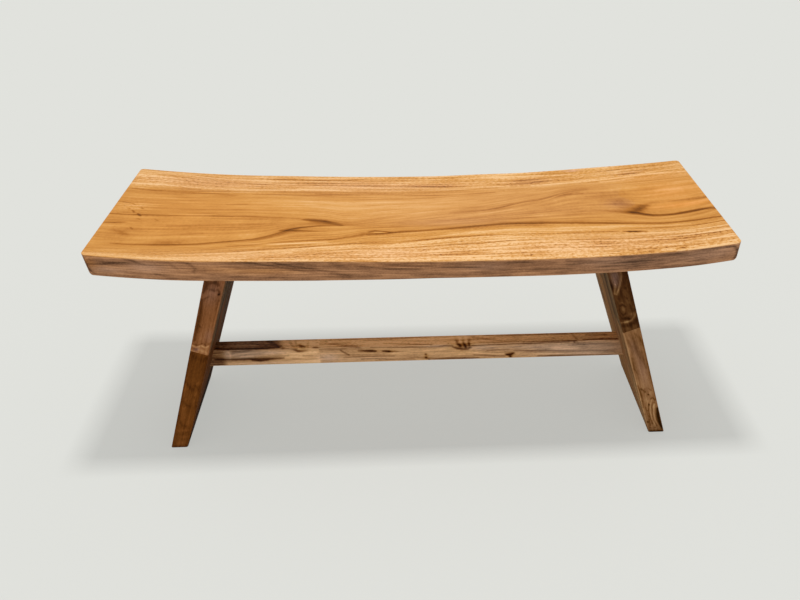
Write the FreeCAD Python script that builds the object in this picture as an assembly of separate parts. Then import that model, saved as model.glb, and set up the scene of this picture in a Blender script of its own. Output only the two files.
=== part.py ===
# Teak bench: a dished seat slab on two splayed leg panels, with one stretcher between them.
# The frame has its origin on the floor under the middle of the bench. X runs along the seat,
# Y from front to back and Z up. All sizes are in millimetres.

import FreeCAD, Part
import os
from math import atan2, degrees, sqrt

os.makedirs("parts", exist_ok=True)

# Seat
SEAT_LENGTH = 1050.0
SEAT_DEPTH = 352.0
SEAT_HEIGHT = 437.0
END_RISE = 23.0
FLAT_LENGTH = 340.0
SEAT_THICKNESS_LEFT = 36.5
SEAT_THICKNESS_RIGHT = 32.0
THINNING_LENGTH = 200.0
UNDERCUT_LEFT = 4.0
UNDERCUT_RIGHT = 1.0
SEAT_CORNER_RADIUS = 6.0
SEAT_END_RADIUS = 8.0
SEAT_ARRIS_RADIUS = 1.5

# Leg panels, measured level, at the underside of the seat's middle and on the floor.
# A setback is from the seat's end to the middle of the leg, an inset from its front or back edge.
LEG_SETBACK_TOP = 194.0
LEG_SETBACK_FOOT = 49.0
LEG_INSET_TOP = 32.0
LEG_INSET_FOOT = 60.0
LEG_THICKNESS_TOP = 36.0
LEG_THICKNESS_FOOT = 32.0
LEG_ARRIS_RADIUS = 2.5
MIDDLE_STAVE_WIDTH = 66.0

# Stretcher
STRETCHER_UNDERSIDE = 123.0
STRETCHER_HEIGHT = 38.0
STRETCHER_DEPTH = 31.0
STRETCHER_ARRIS_RADIUS = 1.5
SPLICE_TO_MIDDLE = 197.0
TENON_LENGTH = 16.0
TENON_WIDTH = 13.0
TENON_HEIGHT = 26.0
MORTISE_SIDE_GAP = 0.1
MORTISE_END_GAP = 1.0

# Dowels
SEAT_DOWEL_RADIUS = 6.0
SEAT_DOWEL_IN_SEAT = 20.0
SEAT_DOWEL_IN_LEG = 40.0
BLOCK_DOWEL_RADIUS = 5.0
BLOCK_DOWEL_LENGTH = 40.0
SPLICE_DOWEL_RADIUS = 4.0
SPLICE_DOWEL_LENGTH = 50.0
SPLICE_DOWEL_SPACING = 18.0
DOWEL_SIDE_GAP = 0.05
DOWEL_END_GAP = 1.0

# How far cutting shapes run past what they cut
OVERRUN = 20.0

# Heights of the end joints in each stave, as shares of the height under the seat
STAVES = ("front", "mid_front", "mid_rear", "rear")
SIDES = {"left": -1, "right": 1}
JOINT_SHARES = {-1: (0.585, 0.72, 0.52, 0.66), 1: (0.65, 0.54, 0.74, 0.48)}

UNDER_SEAT = SEAT_HEIGHT - SEAT_THICKNESS_RIGHT
LEG_SPACING_TOP = SEAT_LENGTH - 2 * LEG_SETBACK_TOP
LEG_SPACING_FOOT = SEAT_LENGTH - 2 * LEG_SETBACK_FOOT
LEG_WIDTH_TOP = SEAT_DEPTH - 2 * LEG_INSET_TOP
LEG_WIDTH_FOOT = SEAT_DEPTH - 2 * LEG_INSET_FOOT
STRETCHER_MIDDLE = STRETCHER_UNDERSIDE + STRETCHER_HEIGHT / 2
QUARTER_TURN = 90


def point(x, y, z):
    return FreeCAD.Vector(x, y, z)


def between(at_floor, at_top, z):
    """A size that changes evenly from the floor to the underside of the seat."""
    return at_floor + (at_top - at_floor) * z / UNDER_SEAT


# Seat: side profile
def rise_radius():
    """Radius of the arc that leaves the flat middle level and climbs END_RISE at the end."""
    reach = (SEAT_LENGTH - FLAT_LENGTH) / 2
    return (reach ** 2 + END_RISE ** 2) / (2 * END_RISE)


def rising_arc(side, depth, end_x):
    """The seat's curve, depth below the top face, from the flat middle to end_x."""
    radius = rise_radius() + depth
    centre_x = side * FLAT_LENGTH / 2
    centre_z = SEAT_HEIGHT + rise_radius()

    def on_arc(x):
        return point(x, 0, centre_z - sqrt(radius ** 2 - (x - centre_x) ** 2))

    return on_arc(centre_x), on_arc((centre_x + end_x) / 2), on_arc(end_x)


def arc_edge(points):
    return Part.Arc(*points).toShape()


def line_edge(start, end):
    return Part.LineSegment(start, end).toShape()


def underside_edges(left_end_x, right_end_x):
    """The underside from left to right: arc, thinning ramp, level stretch and arc."""
    left_arc = rising_arc(-1, SEAT_THICKNESS_LEFT, left_end_x)
    right_arc = rising_arc(1, SEAT_THICKNESS_RIGHT, right_end_x)
    ramp_end = point(THINNING_LENGTH - FLAT_LENGTH / 2, 0, UNDER_SEAT)
    return [
        arc_edge(left_arc),
        line_edge(left_arc[0], ramp_end),
        line_edge(ramp_end, right_arc[0]),
        arc_edge(right_arc),
    ], left_arc[2], right_arc[2]


def extruded(edges, depth):
    """A closed outline in the XZ plane, carried evenly to both sides of it."""
    face = Part.Face(Part.Wire(Part.__sortEdges__(edges)))
    solid = face.extrude(point(0, depth, 0))
    solid.translate(point(0, -depth / 2, 0))
    return solid


def seat_profile_solid():
    left_top = rising_arc(-1, 0, -SEAT_LENGTH / 2)
    right_top = rising_arc(1, 0, SEAT_LENGTH / 2)
    under, left_under, right_under = underside_edges(
        UNDERCUT_LEFT - SEAT_LENGTH / 2, SEAT_LENGTH / 2 - UNDERCUT_RIGHT
    )
    top = [arc_edge(left_top), line_edge(left_top[0], right_top[0]), arc_edge(right_top)]
    ends = [line_edge(left_top[2], left_under), line_edge(right_top[2], right_under)]
    return extruded(top + under + ends, SEAT_DEPTH)


def edges_where(solid, test):
    return [edge for edge in solid.Edges if test(edge)]


def span(edge, axis):
    """Length of the edge's box along x, y or z."""
    return getattr(edge.BoundBox, axis.upper() + "Length")


def near_seat_end(edge):
    return abs(edge.CenterOfMass.x) > (SEAT_LENGTH + FLAT_LENGTH) / 4


def lower_end_edge(edge):
    """The edge across the bench at the bottom of an end."""
    crosswise = span(edge, "y") > SEAT_DEPTH / 2
    return crosswise and near_seat_end(edge) and edge.CenterOfMass.z < SEAT_HEIGHT


def upright_end_edge(edge):
    """One of the four corners that stand at the ends of the seat."""
    tall = span(edge, "z") > SEAT_THICKNESS_RIGHT / 2
    return tall and near_seat_end(edge) and span(edge, "x") < SEAT_END_RADIUS


def lengthwise_edge(edge):
    """A long edge on the front or the back."""
    return span(edge, "x") > SEAT_CORNER_RADIUS and span(edge, "y") < SEAT_ARRIS_RADIUS


def seat_blank():
    """The slab with its rounded corners, before any hole is drilled."""
    slab = seat_profile_solid()
    slab = slab.makeFillet(SEAT_END_RADIUS, edges_where(slab, lower_end_edge))
    slab = slab.makeFillet(SEAT_CORNER_RADIUS, edges_where(slab, upright_end_edge))
    return slab.makeFillet(SEAT_ARRIS_RADIUS, edges_where(slab, lengthwise_edge))


def underside_height(side, x):
    """Height of the seat's underside above the floor, out on its rising arc."""
    thickness = SEAT_THICKNESS_LEFT if side < 0 else SEAT_THICKNESS_RIGHT
    return rising_arc(side, thickness, x)[2].z


# Legs: the line that each leg leans along
def leg_centre_x(z):
    return between(LEG_SPACING_FOOT, LEG_SPACING_TOP, z) / 2


def leg_half_thickness(z):
    return between(LEG_THICKNESS_FOOT, LEG_THICKNESS_TOP, z) / 2


def leg_half_width(z):
    return between(LEG_WIDTH_FOOT, LEG_WIDTH_TOP, z) / 2


def leg_inner_x(z):
    """Distance from the middle of the bench to a leg's inner face."""
    return leg_centre_x(z) - leg_half_thickness(z)


LEAN = degrees(atan2((LEG_SPACING_FOOT - LEG_SPACING_TOP) / 2, UNDER_SEAT))


def on_leg(shape, side, y, z):
    """Leans a shape made about the Z axis and sets its origin on the leg's centre line."""
    placed = shape.copy()
    placed.rotate(point(0, 0, 0), point(0, 1, 0), -side * LEAN)
    placed.translate(point(side * leg_centre_x(z), y, z))
    return placed


# Legs: the glued-up panel
def level_outline(side, z):
    """The four corners of a leg at one height."""
    thick, wide = leg_half_thickness(z), leg_half_width(z)
    signs = ((-1, -1), (1, -1), (1, 1), (-1, 1))
    return [point(side * leg_centre_x(z) + i * thick, j * wide, z) for i, j in signs]


def solid_between(lower, upper):
    """A solid with flat sides between two four-cornered outlines."""
    sides = [(lower[i - 1], lower[i], upper[i], upper[i - 1]) for i in range(len(lower))]
    rings = [lower[::-1], upper] + sides
    faces = [Part.Face(Part.makePolygon(list(ring) + [ring[0]])) for ring in rings]
    return Part.Solid(Part.Shell(faces))


def space_above_underside():
    """All that lies over the seat's underside, which the leg tops are scribed to."""
    under, left, right = underside_edges(-SEAT_LENGTH / 2, SEAT_LENGTH / 2)
    ceiling = SEAT_HEIGHT + END_RISE + OVERRUN
    left_top, right_top = point(left.x, 0, ceiling), point(right.x, 0, ceiling)
    walls = [line_edge(left, left_top), line_edge(left_top, right_top), line_edge(right_top, right)]
    return extruded(under + walls, SEAT_DEPTH)


def leg_panel(side):
    panel = solid_between(level_outline(side, 0), level_outline(side, UNDER_SEAT + OVERRUN))
    below_top = edges_where(panel, lambda edge: edge.BoundBox.ZMin < UNDER_SEAT)
    return panel.makeFillet(LEG_ARRIS_RADIUS, below_top).cut(space_above_underside())


def stave_limits(index):
    """Front and back limits of a stave: the middle ones are parallel, the outer ones taper."""
    limits = (-LEG_WIDTH_TOP, -MIDDLE_STAVE_WIDTH, 0, MIDDLE_STAVE_WIDTH, LEG_WIDTH_TOP)
    return limits[index], limits[index + 1]


def stave_centre(index, z):
    """Where the middle of a stave lies from front to back."""
    low, high = stave_limits(index)
    edge = leg_half_width(z)
    return (max(low, -edge) + min(high, edge)) / 2


def half_of_leg(side, index, joint_z, level):
    """The space of one block: a stave's width, above or below its square end joint."""
    low, high = stave_limits(index)
    across = LEG_THICKNESS_TOP + OVERRUN
    start_z = 0 if level == "upper" else -SEAT_HEIGHT
    cell = Part.makeBox(2 * across, high - low, SEAT_HEIGHT, point(-across, low, start_z))
    return on_leg(cell, side, 0, joint_z)


# Dowels
def dowel(radius, below, above):
    """A round pin about the Z axis, from below to above the origin."""
    return Part.makeCylinder(radius, below + above, point(0, 0, -below))


def dowel_hole(radius, below, above):
    return dowel(radius + DOWEL_SIDE_GAP, below + DOWEL_END_GAP, above + DOWEL_END_GAP)


def in_seat_joints(side, make):
    """One dowel or hole in the top of each stave."""
    z = underside_height(side, leg_centre_x(UNDER_SEAT) * side)
    pin = make(SEAT_DOWEL_RADIUS, SEAT_DOWEL_IN_LEG, SEAT_DOWEL_IN_SEAT)
    return [on_leg(pin, side, stave_centre(index, z), z) for index in range(len(STAVES))]


def in_block_joints(side, make):
    """One dowel or hole across each end joint."""
    pin = make(BLOCK_DOWEL_RADIUS, BLOCK_DOWEL_LENGTH / 2, BLOCK_DOWEL_LENGTH / 2)
    heights = [share * UNDER_SEAT for share in JOINT_SHARES[side]]
    return [on_leg(pin, side, stave_centre(index, z), z) for index, z in enumerate(heights)]


def in_splice(make):
    """The two dowels or holes that run along the stretcher across its end joint."""
    pin = make(SPLICE_DOWEL_RADIUS, SPLICE_DOWEL_LENGTH / 2, SPLICE_DOWEL_LENGTH / 2)
    pin.rotate(point(0, 0, 0), point(0, 1, 0), QUARTER_TURN)
    placed = []
    for sign in (-1, 1):
        one = pin.copy()
        one.translate(point(-SPLICE_TO_MIDDLE, 0, STRETCHER_MIDDLE + sign * SPLICE_DOWEL_SPACING / 2))
        placed.append(one)
    return placed


# Stretcher
def tenon_space(side, side_gap, end_gap):
    """The stub tenon with a gap all round: with no gaps it is the tenon itself."""
    length = 2 * TENON_LENGTH + end_gap
    width, height = TENON_WIDTH + 2 * side_gap, TENON_HEIGHT + 2 * side_gap
    start = leg_inner_x(STRETCHER_MIDDLE) - TENON_LENGTH
    low_x = start if side > 0 else -start - length
    return Part.makeBox(length, width, height, point(low_x, -width / 2, STRETCHER_MIDDLE - height / 2))


def stretcher_rail():
    """The rail between the legs' inner faces, its ends cut to their lean."""
    low, high = STRETCHER_UNDERSIDE, STRETCHER_UNDERSIDE + STRETCHER_HEIGHT
    corners = [(-1, low), (1, low), (1, high), (-1, high)]
    points = [point(sign * leg_inner_x(z), 0, z) for sign, z in corners]
    edges = [line_edge(points[i - 1], points[i]) for i in range(len(points))]
    rail = extruded(edges, STRETCHER_DEPTH)
    long_edges = edges_where(rail, lambda edge: span(edge, "x") > SPLICE_TO_MIDDLE)
    return rail.makeFillet(STRETCHER_ARRIS_RADIUS, long_edges)


def stretcher_block(side):
    """The part of the rail on one side of the end joint, with its tenon."""
    reach = SEAT_LENGTH
    low_x = -SPLICE_TO_MIDDLE if side > 0 else -SPLICE_TO_MIDDLE - reach
    space = Part.makeBox(reach, SEAT_DEPTH, SEAT_HEIGHT, point(low_x, -SEAT_DEPTH / 2, 0))
    block = stretcher_rail().common(space).fuse(tenon_space(side, 0, 0)).removeSplitter()
    return drilled(block, in_splice(dowel_hole))


# Assembly
def drilled(solid, tools):
    return solid.cut(Part.Compound(tools))


def leg_blocks(name, side):
    """Every block of one leg by its node's name."""
    mortise = tenon_space(side, MORTISE_SIDE_GAP, MORTISE_END_GAP)
    holes = in_seat_joints(side, dowel_hole) + in_block_joints(side, dowel_hole) + [mortise]
    panel = drilled(leg_panel(side), holes)
    blocks = {}
    for index, stave in enumerate(STAVES):
        joint_z = JOINT_SHARES[side][index] * UNDER_SEAT
        for level in ("upper", "lower"):
            node = f"{name}_leg_{stave}_{level}_block"
            blocks[node] = panel.common(half_of_leg(side, index, joint_z, level))
    return blocks


def bench():
    """Every node of the bench by name."""
    seat_holes = in_seat_joints(-1, dowel_hole) + in_seat_joints(1, dowel_hole)
    nodes = {"seat_slab": drilled(seat_blank(), seat_holes)}
    for name, side in SIDES.items():
        nodes.update(leg_blocks(name, side))
        nodes[f"{name}_seat_dowels"] = Part.Compound(in_seat_joints(side, dowel))
        nodes[f"{name}_block_dowels"] = Part.Compound(in_block_joints(side, dowel))
        nodes[f"stretcher_{name}_block"] = stretcher_block(side)
    nodes["stretcher_splice_dowels"] = Part.Compound(in_splice(dowel))
    return nodes


for node_name, node_shape in bench().items():
    node_shape.exportStep(f"parts/{node_name}.step")
    box = node_shape.BoundBox
    print(f"{node_name}: {len(node_shape.Solids)} solid, valid {node_shape.isValid()}, "
          f"{node_shape.Volume / 1000:.1f} cm3, z {box.ZMin:.1f} to {box.ZMax:.1f}")
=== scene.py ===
# %% [markdown]
# # A teak bench with a dished seat
#
# The bench is solid teak: one wide slab for the seat, two leaning legs glued up from short
# blocks, and a square rail between them. Wood is a hard thing to copy because its pattern goes
# right through it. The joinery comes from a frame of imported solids, and each visible board is
# built again here as a fine grid of points, so that the figure of the wood can be stored on the
# points and follow the board round its edges.

# %% The frame
import math

import bpy
import numpy as np
from mathutils import Matrix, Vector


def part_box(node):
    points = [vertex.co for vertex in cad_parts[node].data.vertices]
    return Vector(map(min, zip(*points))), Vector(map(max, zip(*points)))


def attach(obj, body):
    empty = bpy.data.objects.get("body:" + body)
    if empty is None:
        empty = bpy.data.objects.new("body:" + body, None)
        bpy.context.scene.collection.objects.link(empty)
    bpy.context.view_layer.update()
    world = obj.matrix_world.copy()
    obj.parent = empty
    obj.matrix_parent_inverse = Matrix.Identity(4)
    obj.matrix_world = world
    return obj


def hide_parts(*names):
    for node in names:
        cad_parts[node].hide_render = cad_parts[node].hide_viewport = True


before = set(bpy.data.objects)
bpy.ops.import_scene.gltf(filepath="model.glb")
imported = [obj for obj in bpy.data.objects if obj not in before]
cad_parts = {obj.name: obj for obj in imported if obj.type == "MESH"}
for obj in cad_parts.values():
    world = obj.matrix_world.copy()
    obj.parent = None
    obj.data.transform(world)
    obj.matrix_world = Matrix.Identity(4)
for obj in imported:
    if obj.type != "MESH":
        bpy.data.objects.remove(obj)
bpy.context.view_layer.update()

# %% [markdown]
# ## Sizes
#
# All lengths below are millimetres. The seat's box comes from the frame. The other sizes are the
# ones a bench maker would write on a drawing: how far the seat's middle stays flat, how thick it
# is, how the legs lean and where the rail sits.

# %% Driving sizes
MM = 0.001
seat_low, seat_high = (np.array(corner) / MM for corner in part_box("seat_slab"))
HALF_LENGTH = 525.0
HALF_DEPTH = seat_high[1]
SEAT_HEIGHT = 437.0
END_RISE = 23.0
HALF_FLAT = 170.0
THICK_LEFT = 36.5
THICK_RIGHT = 32.0
THINNING_END = 30.0
UNDERCUT_LEFT = 4.0
UNDERCUT_RIGHT = 1.0
SEAT_CORNER_RADIUS = 9.0
SEAT_END_RADIUS = 8.0
ARRIS = 1.5
RISE_RADIUS = ((HALF_LENGTH - HALF_FLAT) ** 2 + END_RISE**2) / (2 * END_RISE)
print("the seat's ends curve up on a radius of", round(RISE_RADIUS), "mm")

# %% [markdown]
# ## Camera
#
# The camera stands in front of the bench and looks down on it. Its place and lens were found by
# matching the bench's corners in a photograph. The lens is given as a focal length in pixels of
# an 800 by 600 picture, which Blender wants as millimetres on a 36 mm sensor.

# %% Camera
CAMERA_PLACE = (-15.37, -1257.96, 1024.91)
YAW, PITCH, ROLL = (math.radians(angle) for angle in (3.5, 35.65, 0.48))
FOCAL_PIXELS = 762.99
CENTRE_PIXELS = (449.51, 356.03)
PICTURE = (800, 600)
SENSOR = 36.0


def camera_axes():
    """The camera's right, up and backward directions: yaw about Z, pitch down, then roll."""
    forward = np.array([math.sin(YAW) * math.cos(PITCH), math.cos(YAW) * math.cos(PITCH), -math.sin(PITCH)])
    level = np.array([math.cos(YAW), -math.sin(YAW), 0.0])
    upright = np.cross(level, forward)
    right = math.cos(ROLL) * level + math.sin(ROLL) * upright
    up = -math.sin(ROLL) * level + math.cos(ROLL) * upright
    return right, up, -forward


lens = bpy.data.cameras.new("camera")
lens.sensor_width = SENSOR
lens.lens = FOCAL_PIXELS / PICTURE[0] * SENSOR
lens.shift_x = (PICTURE[0] / 2 - CENTRE_PIXELS[0]) / PICTURE[0]
lens.shift_y = (CENTRE_PIXELS[1] - PICTURE[1] / 2) / PICTURE[0]
camera = bpy.data.objects.new("camera", lens)
pose = np.eye(4)
pose[:3, :3] = np.stack(camera_axes(), axis=1)
pose[:3, 3] = np.array(CAMERA_PLACE) * MM
camera.matrix_world = Matrix(pose.tolist())
bpy.context.scene.collection.objects.link(camera)
bpy.context.scene.camera = camera
bpy.context.scene.view_settings.view_transform = "Standard"
print("lens", round(lens.lens, 2), "mm, shift", round(lens.shift_x, 4), round(lens.shift_y, 4))

# %% [markdown]
# ## Shader nodes
#
# Every material here is a small graph of nodes. One helper adds a node, sets its properties and
# fills or links its inputs, so a graph reads as a list of steps. Colours are written as the hex
# values that a screen shows, and turned into the linear values that light adds up in.

# %% Helpers for materials
def linear(hex_colour):
    """An sRGB hex colour as linear light: each channel goes through the sRGB curve."""
    channels = [int(hex_colour[i : i + 2], 16) / 255 for i in (1, 3, 5)]
    lit = [c / 12.92 if c <= 0.04045 else ((c + 0.055) / 1.055) ** 2.4 for c in channels]
    return (*lit, 1.0)


def add(tree, kind, inputs, **settings):
    """Adds a node. Inputs maps a socket to a value, or to another node's socket to link."""
    node = tree.nodes.new(kind)
    for name, value in settings.items():
        setattr(node, name, value)
    for socket, value in inputs.items():
        if isinstance(value, bpy.types.NodeSocket):
            tree.links.new(value, node.inputs[socket])
        else:
            node.inputs[socket].default_value = value
    return node


def new_material(name):
    """A material with an empty node graph and the node that ends it."""
    material = bpy.data.materials.new(name)
    material.use_nodes = True
    material.node_tree.nodes.clear()
    end = material.node_tree.nodes.new("ShaderNodeOutputMaterial")
    return material, material.node_tree, end.inputs["Surface"]


print("a screen's mid grey sends back", round(linear("#808080")[0], 3), "of the light")

# %% [markdown]
# ## Floor and light
#
# The bench stands on a pale seamless floor in a bright room, under one soft lamp. The lamp is
# small and near, so the seat's shadow is wider than the seat, with soft edges. A near lamp also
# lights a floor unevenly, and a studio backdrop has to look even. So the floor adds a glow of its
# own for the camera, strong where the lamp is weak. A second lamp in the same place lights only
# the floor, which makes the shadow as deep as in a studio without more light on the bench.

# %% Floor and light
FLOOR_COLOUR = linear("#E1E2DD")
FLOOR_SIZE = 24000.0
LAMP_PLACE = (0.0, -230.0, 2200.0)
LAMP_SIZE = (240.0, 240.0)
LAMP_LEVEL = 0.24
FLOOR_LAMP_LEVEL = 1.15
ROOM_LEVEL = 0.72
FLOOR_SHARE = 0.2
BOUNCE_SHARE = 0.6


def light_room():
    """The room: the same white light from every side."""
    world = bpy.data.worlds.new("room")
    world.use_nodes = True
    world.node_tree.nodes["Background"].inputs["Color"].default_value = (1, 1, 1, 1)
    world.node_tree.nodes["Background"].inputs["Strength"].default_value = ROOM_LEVEL
    bpy.context.scene.world = world


def hang_lamp(name, level):
    """A small flat lamp. It lights a white floor below it to the level when its watts are the
    level times the square of pi times its height."""
    light = bpy.data.lights.new(name, "AREA")
    light.shape = "RECTANGLE"
    light.size, light.size_y = (side * MM for side in LAMP_SIZE)
    light.energy = level * (math.pi * LAMP_PLACE[2] * MM) ** 2
    lamp = bpy.data.objects.new(name, light)
    lamp.location = [c * MM for c in LAMP_PLACE]
    bpy.context.scene.collection.objects.link(lamp)
    print(name, round(light.energy, 1), "watts")
    return lamp


def floor_material():
    """Seamless paper, matt. For the camera, diffuse light plus a glow make one even colour.

    The lamps' light falls off as one over (1 + r² / h²)², r being the distance from the point
    below the lamps and h their height. The glow is one less what the room and the lamps add.
    """
    material, tree, end = new_material("seamless_paper")
    place = add(tree, "ShaderNodeTexCoord", {}).outputs["Object"]
    below = (-LAMP_PLACE[0] * MM, -LAMP_PLACE[1] * MM, 0.0)
    away = add(tree, "ShaderNodeVectorMath", {0: place, 1: below}, operation="ADD").outputs[0]
    high = 1 / (LAMP_PLACE[2] * MM)
    share = add(tree, "ShaderNodeVectorMath", {0: away, "Scale": high}, operation="SCALE").outputs[0]
    squared = add(tree, "ShaderNodeVectorMath", {0: share, 1: share}, operation="DOT_PRODUCT")
    spread = add(tree, "ShaderNodeMath", {0: squared.outputs["Value"], 1: 1.0}, operation="ADD").outputs[0]
    fall = add(tree, "ShaderNodeMath", {0: spread, 1: -2.0}, operation="POWER").outputs[0]
    lamps, room = (LAMP_LEVEL + FLOOR_LAMP_LEVEL) * FLOOR_SHARE, ROOM_LEVEL * FLOOR_SHARE
    lit = add(tree, "ShaderNodeMath", {0: fall, 1: lamps, 2: room}, operation="MULTIPLY_ADD").outputs[0]
    strength = add(tree, "ShaderNodeMath", {0: 1.0, 1: lit}, operation="SUBTRACT").outputs[0]
    glow = add(tree, "ShaderNodeEmission", {"Color": FLOOR_COLOUR, "Strength": strength}).outputs[0]
    dimmed = [(*(c * part for c in FLOOR_COLOUR[:3]), 1.0) for part in (FLOOR_SHARE, BOUNCE_SHARE)]
    shown, paper = (add(tree, "ShaderNodeBsdfDiffuse", {"Color": colour}).outputs[0] for colour in dimmed)
    seen = add(tree, "ShaderNodeAddShader", {0: shown, 1: glow}).outputs[0]
    rays = add(tree, "ShaderNodeLightPath", {}).outputs
    sharp = add(
        tree, "ShaderNodeMath", {0: rays["Is Camera Ray"], 1: rays["Is Glossy Ray"]}, operation="MAXIMUM"
    ).outputs[0]
    direct = add(
        tree, "ShaderNodeMath", {0: sharp, 1: rays["Is Transmission Ray"]}, operation="MAXIMUM"
    ).outputs[0]
    mix = add(tree, "ShaderNodeMixShader", {0: direct, 1: paper, 2: seen})
    tree.links.new(mix.outputs[0], end)
    return material


def lay_floor():
    """One square, its corners at plus and minus half the floor's size."""
    half = FLOOR_SIZE * MM / 2
    mesh = bpy.data.meshes.new("floor")
    corners = [(-half, -half, 0), (half, -half, 0), (half, half, 0), (-half, half, 0)]
    mesh.from_pydata(corners, [], [(0, 1, 2, 3)])
    mesh.materials.append(floor_material())
    floor = bpy.data.objects.new("floor", mesh)
    bpy.context.scene.collection.objects.link(floor)
    return floor


light_room()
studio_floor = lay_floor()
hang_lamp("lamp", LAMP_LEVEL)
floor_only = bpy.data.collections.new("floor_only")
floor_only.objects.link(studio_floor)
hang_lamp("floor_lamp", FLOOR_LAMP_LEVEL).light_linking.receiver_collection = floor_only

# %% [markdown]
# ## Drawing the figure
#
# Teak's dark lines are growth rings cut through at a slant, so each board has its own. A solid
# texture would give rings of its own choice. To get these boards' rings, each line is a short
# list of points on the face, in millimetres, with a half width and a strength at each point.
# A point of the mesh is darkened by how near it lies to the line. Round spots such as knots are
# lines of one point. Wide soft patches and two kinds of step do the rest.

# %% Lines and fields on a face
CUT_OFF = 3.0


def smooth_through(at, table):
    """A smooth curve through points: between two of them a cubic that leaves each along the line
    joining its neighbours. Table rows are (place, value, value, ...); one value gives one array."""
    table = np.array(table, float)
    knots, values = table[:, 0], table[:, 1:]
    slopes = np.gradient(values, knots, axis=0)
    at = np.clip(at, knots[0], knots[-1])
    left = np.clip(np.searchsorted(knots, at) - 1, 0, len(knots) - 2)
    gap = (knots[left + 1] - knots[left])[..., None]
    t = (at - knots[left])[..., None] / gap
    value = (
        values[left] * (1 + 2 * t) * (1 - t) ** 2
        + slopes[left] * gap * t * (1 - t) ** 2
        + values[left + 1] * t**2 * (3 - 2 * t)
        - slopes[left + 1] * gap * t**2 * (1 - t)
    )
    return value[..., 0] if value.shape[-1] == 1 else value


def straight_step(value, start, length):
    """0 up to the start, 1 from the start plus the length on, and a straight line between."""
    return np.clip((value - start) / length, 0, 1)


def soft_step(past, blur):
    """A step from 0 to 1 where past goes through zero: 1 / (1 + exp(-past / blur))."""
    return 1 / (1 + np.exp(-past / blur))


def stroke(u, v, points, fade=1.0):
    """Darkness of a line: at each place the strength of its nearest point times a bell curve of
    the distance over the half width, exp(-(off / width)²), fade times as wide on the line's left
    side. Places further off than the cut-off, in half widths, are left out to save time."""
    points = np.array(points, float)
    reach = CUT_OFF * points[:, 2].max() * max(fade, 1.0)
    low, high = points[:, :2].min(0) - reach, points[:, :2].max(0) + reach
    near = (u > low[0]) & (u < high[0]) & (v > low[1]) & (v < high[1])
    place = np.stack([u[near], v[near]], axis=-1)
    best = np.zeros(len(place))
    starts, ends = (points, points) if len(points) == 1 else (points[:-1], points[1:])
    for start, end in zip(starts, ends):
        run = end[:2] - start[:2]
        away = place - start[:2]
        t = np.clip(away @ run / max(run @ run, 1e-9), 0, 1)
        off = away - t[:, None] * run
        left = run[0] * away[:, 1] - run[1] * away[:, 0] > 0
        width = (start[2] + t * (end[2] - start[2])) * np.where(left, fade, 1.0)
        strength = start[3] + t * (end[3] - start[3])
        best = np.maximum(best, strength * np.exp(-(off**2).sum(-1) / width**2))
    dark = np.zeros(u.shape)
    dark[near] = best
    return dark


def strokes(u, v, table):
    """The darkness of all lines of a table together: one less the product of what each leaves."""
    left = np.ones(u.shape)
    for points in table:
        left *= 1 - np.clip(stroke(u, v, points), -1, 1)
    return 1 - left


def zones(u, v, table):
    """Wide soft patches: each row is a centre, two half widths and an amount that is added."""
    total = np.zeros(u.shape)
    for centre_u, centre_v, half_u, half_v, amount in table:
        total += amount * np.exp(-(((u - centre_u) / half_u) ** 2) - ((v - centre_v) / half_v) ** 2)
    return total


spot = stroke(np.array((0.0, 1.0, 2.0)), np.zeros(3), ((0, 0, 1, 1),))
print("a spot's darkness at 0, 1 and 2 half widths:", spot.round(2))

# %% [markdown]
# ## Boards from rings of points
#
# Each board is a tube: a ring of points round its section, repeated along its length, and one
# flat face over each end. With numpy the whole tube is one array, ring by point by coordinate.
# A board also carries fields on its points: where the point lies in the grain, how light the
# wood is there, how open its grain is, and how far its hue is drawn to that of a tint.

# %% Helpers for boards
SHARP_ANGLE = math.radians(40)
CORNERS = ((-1, 1), (1, 1), (1, -1), (-1, -1))
ARC_ANGLES = np.radians(np.array((67.5, 45.0, 22.5)))


def skin(rings):
    """Faces of a tube: a quad between each two neighbours of a ring and of the next, and the
    first and last ring as one face each."""
    stations, count = rings.shape[:2]
    here = np.arange(count)
    after = np.roll(here, -1)
    start = np.arange(stations - 1)[:, None] * count
    quads = np.stack([start + here, start + after, start + count + after, start + count + here], axis=-1)
    ends = [here[::-1].tolist(), (here + (stations - 1) * count).tolist()]
    return quads.reshape(-1, 4).tolist() + ends


def volume_litres(points, faces):
    """The volume that the quads and end faces enclose, summed over fans of triangles."""
    total = 0.0
    quads = np.array(faces[:-2])
    for corner in (1, 2):
        a, b, c = points[quads[:, 0]], points[quads[:, corner]], points[quads[:, corner + 1]]
        total += (a * np.cross(b, c)).sum() / 6
    for fan in faces[-2:]:
        a, b, c = points[fan[0]], points[fan[1:-1]], points[fan[2:]]
        total += (a * np.cross(b, c)).sum() / 6
    return total / 1e6


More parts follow.
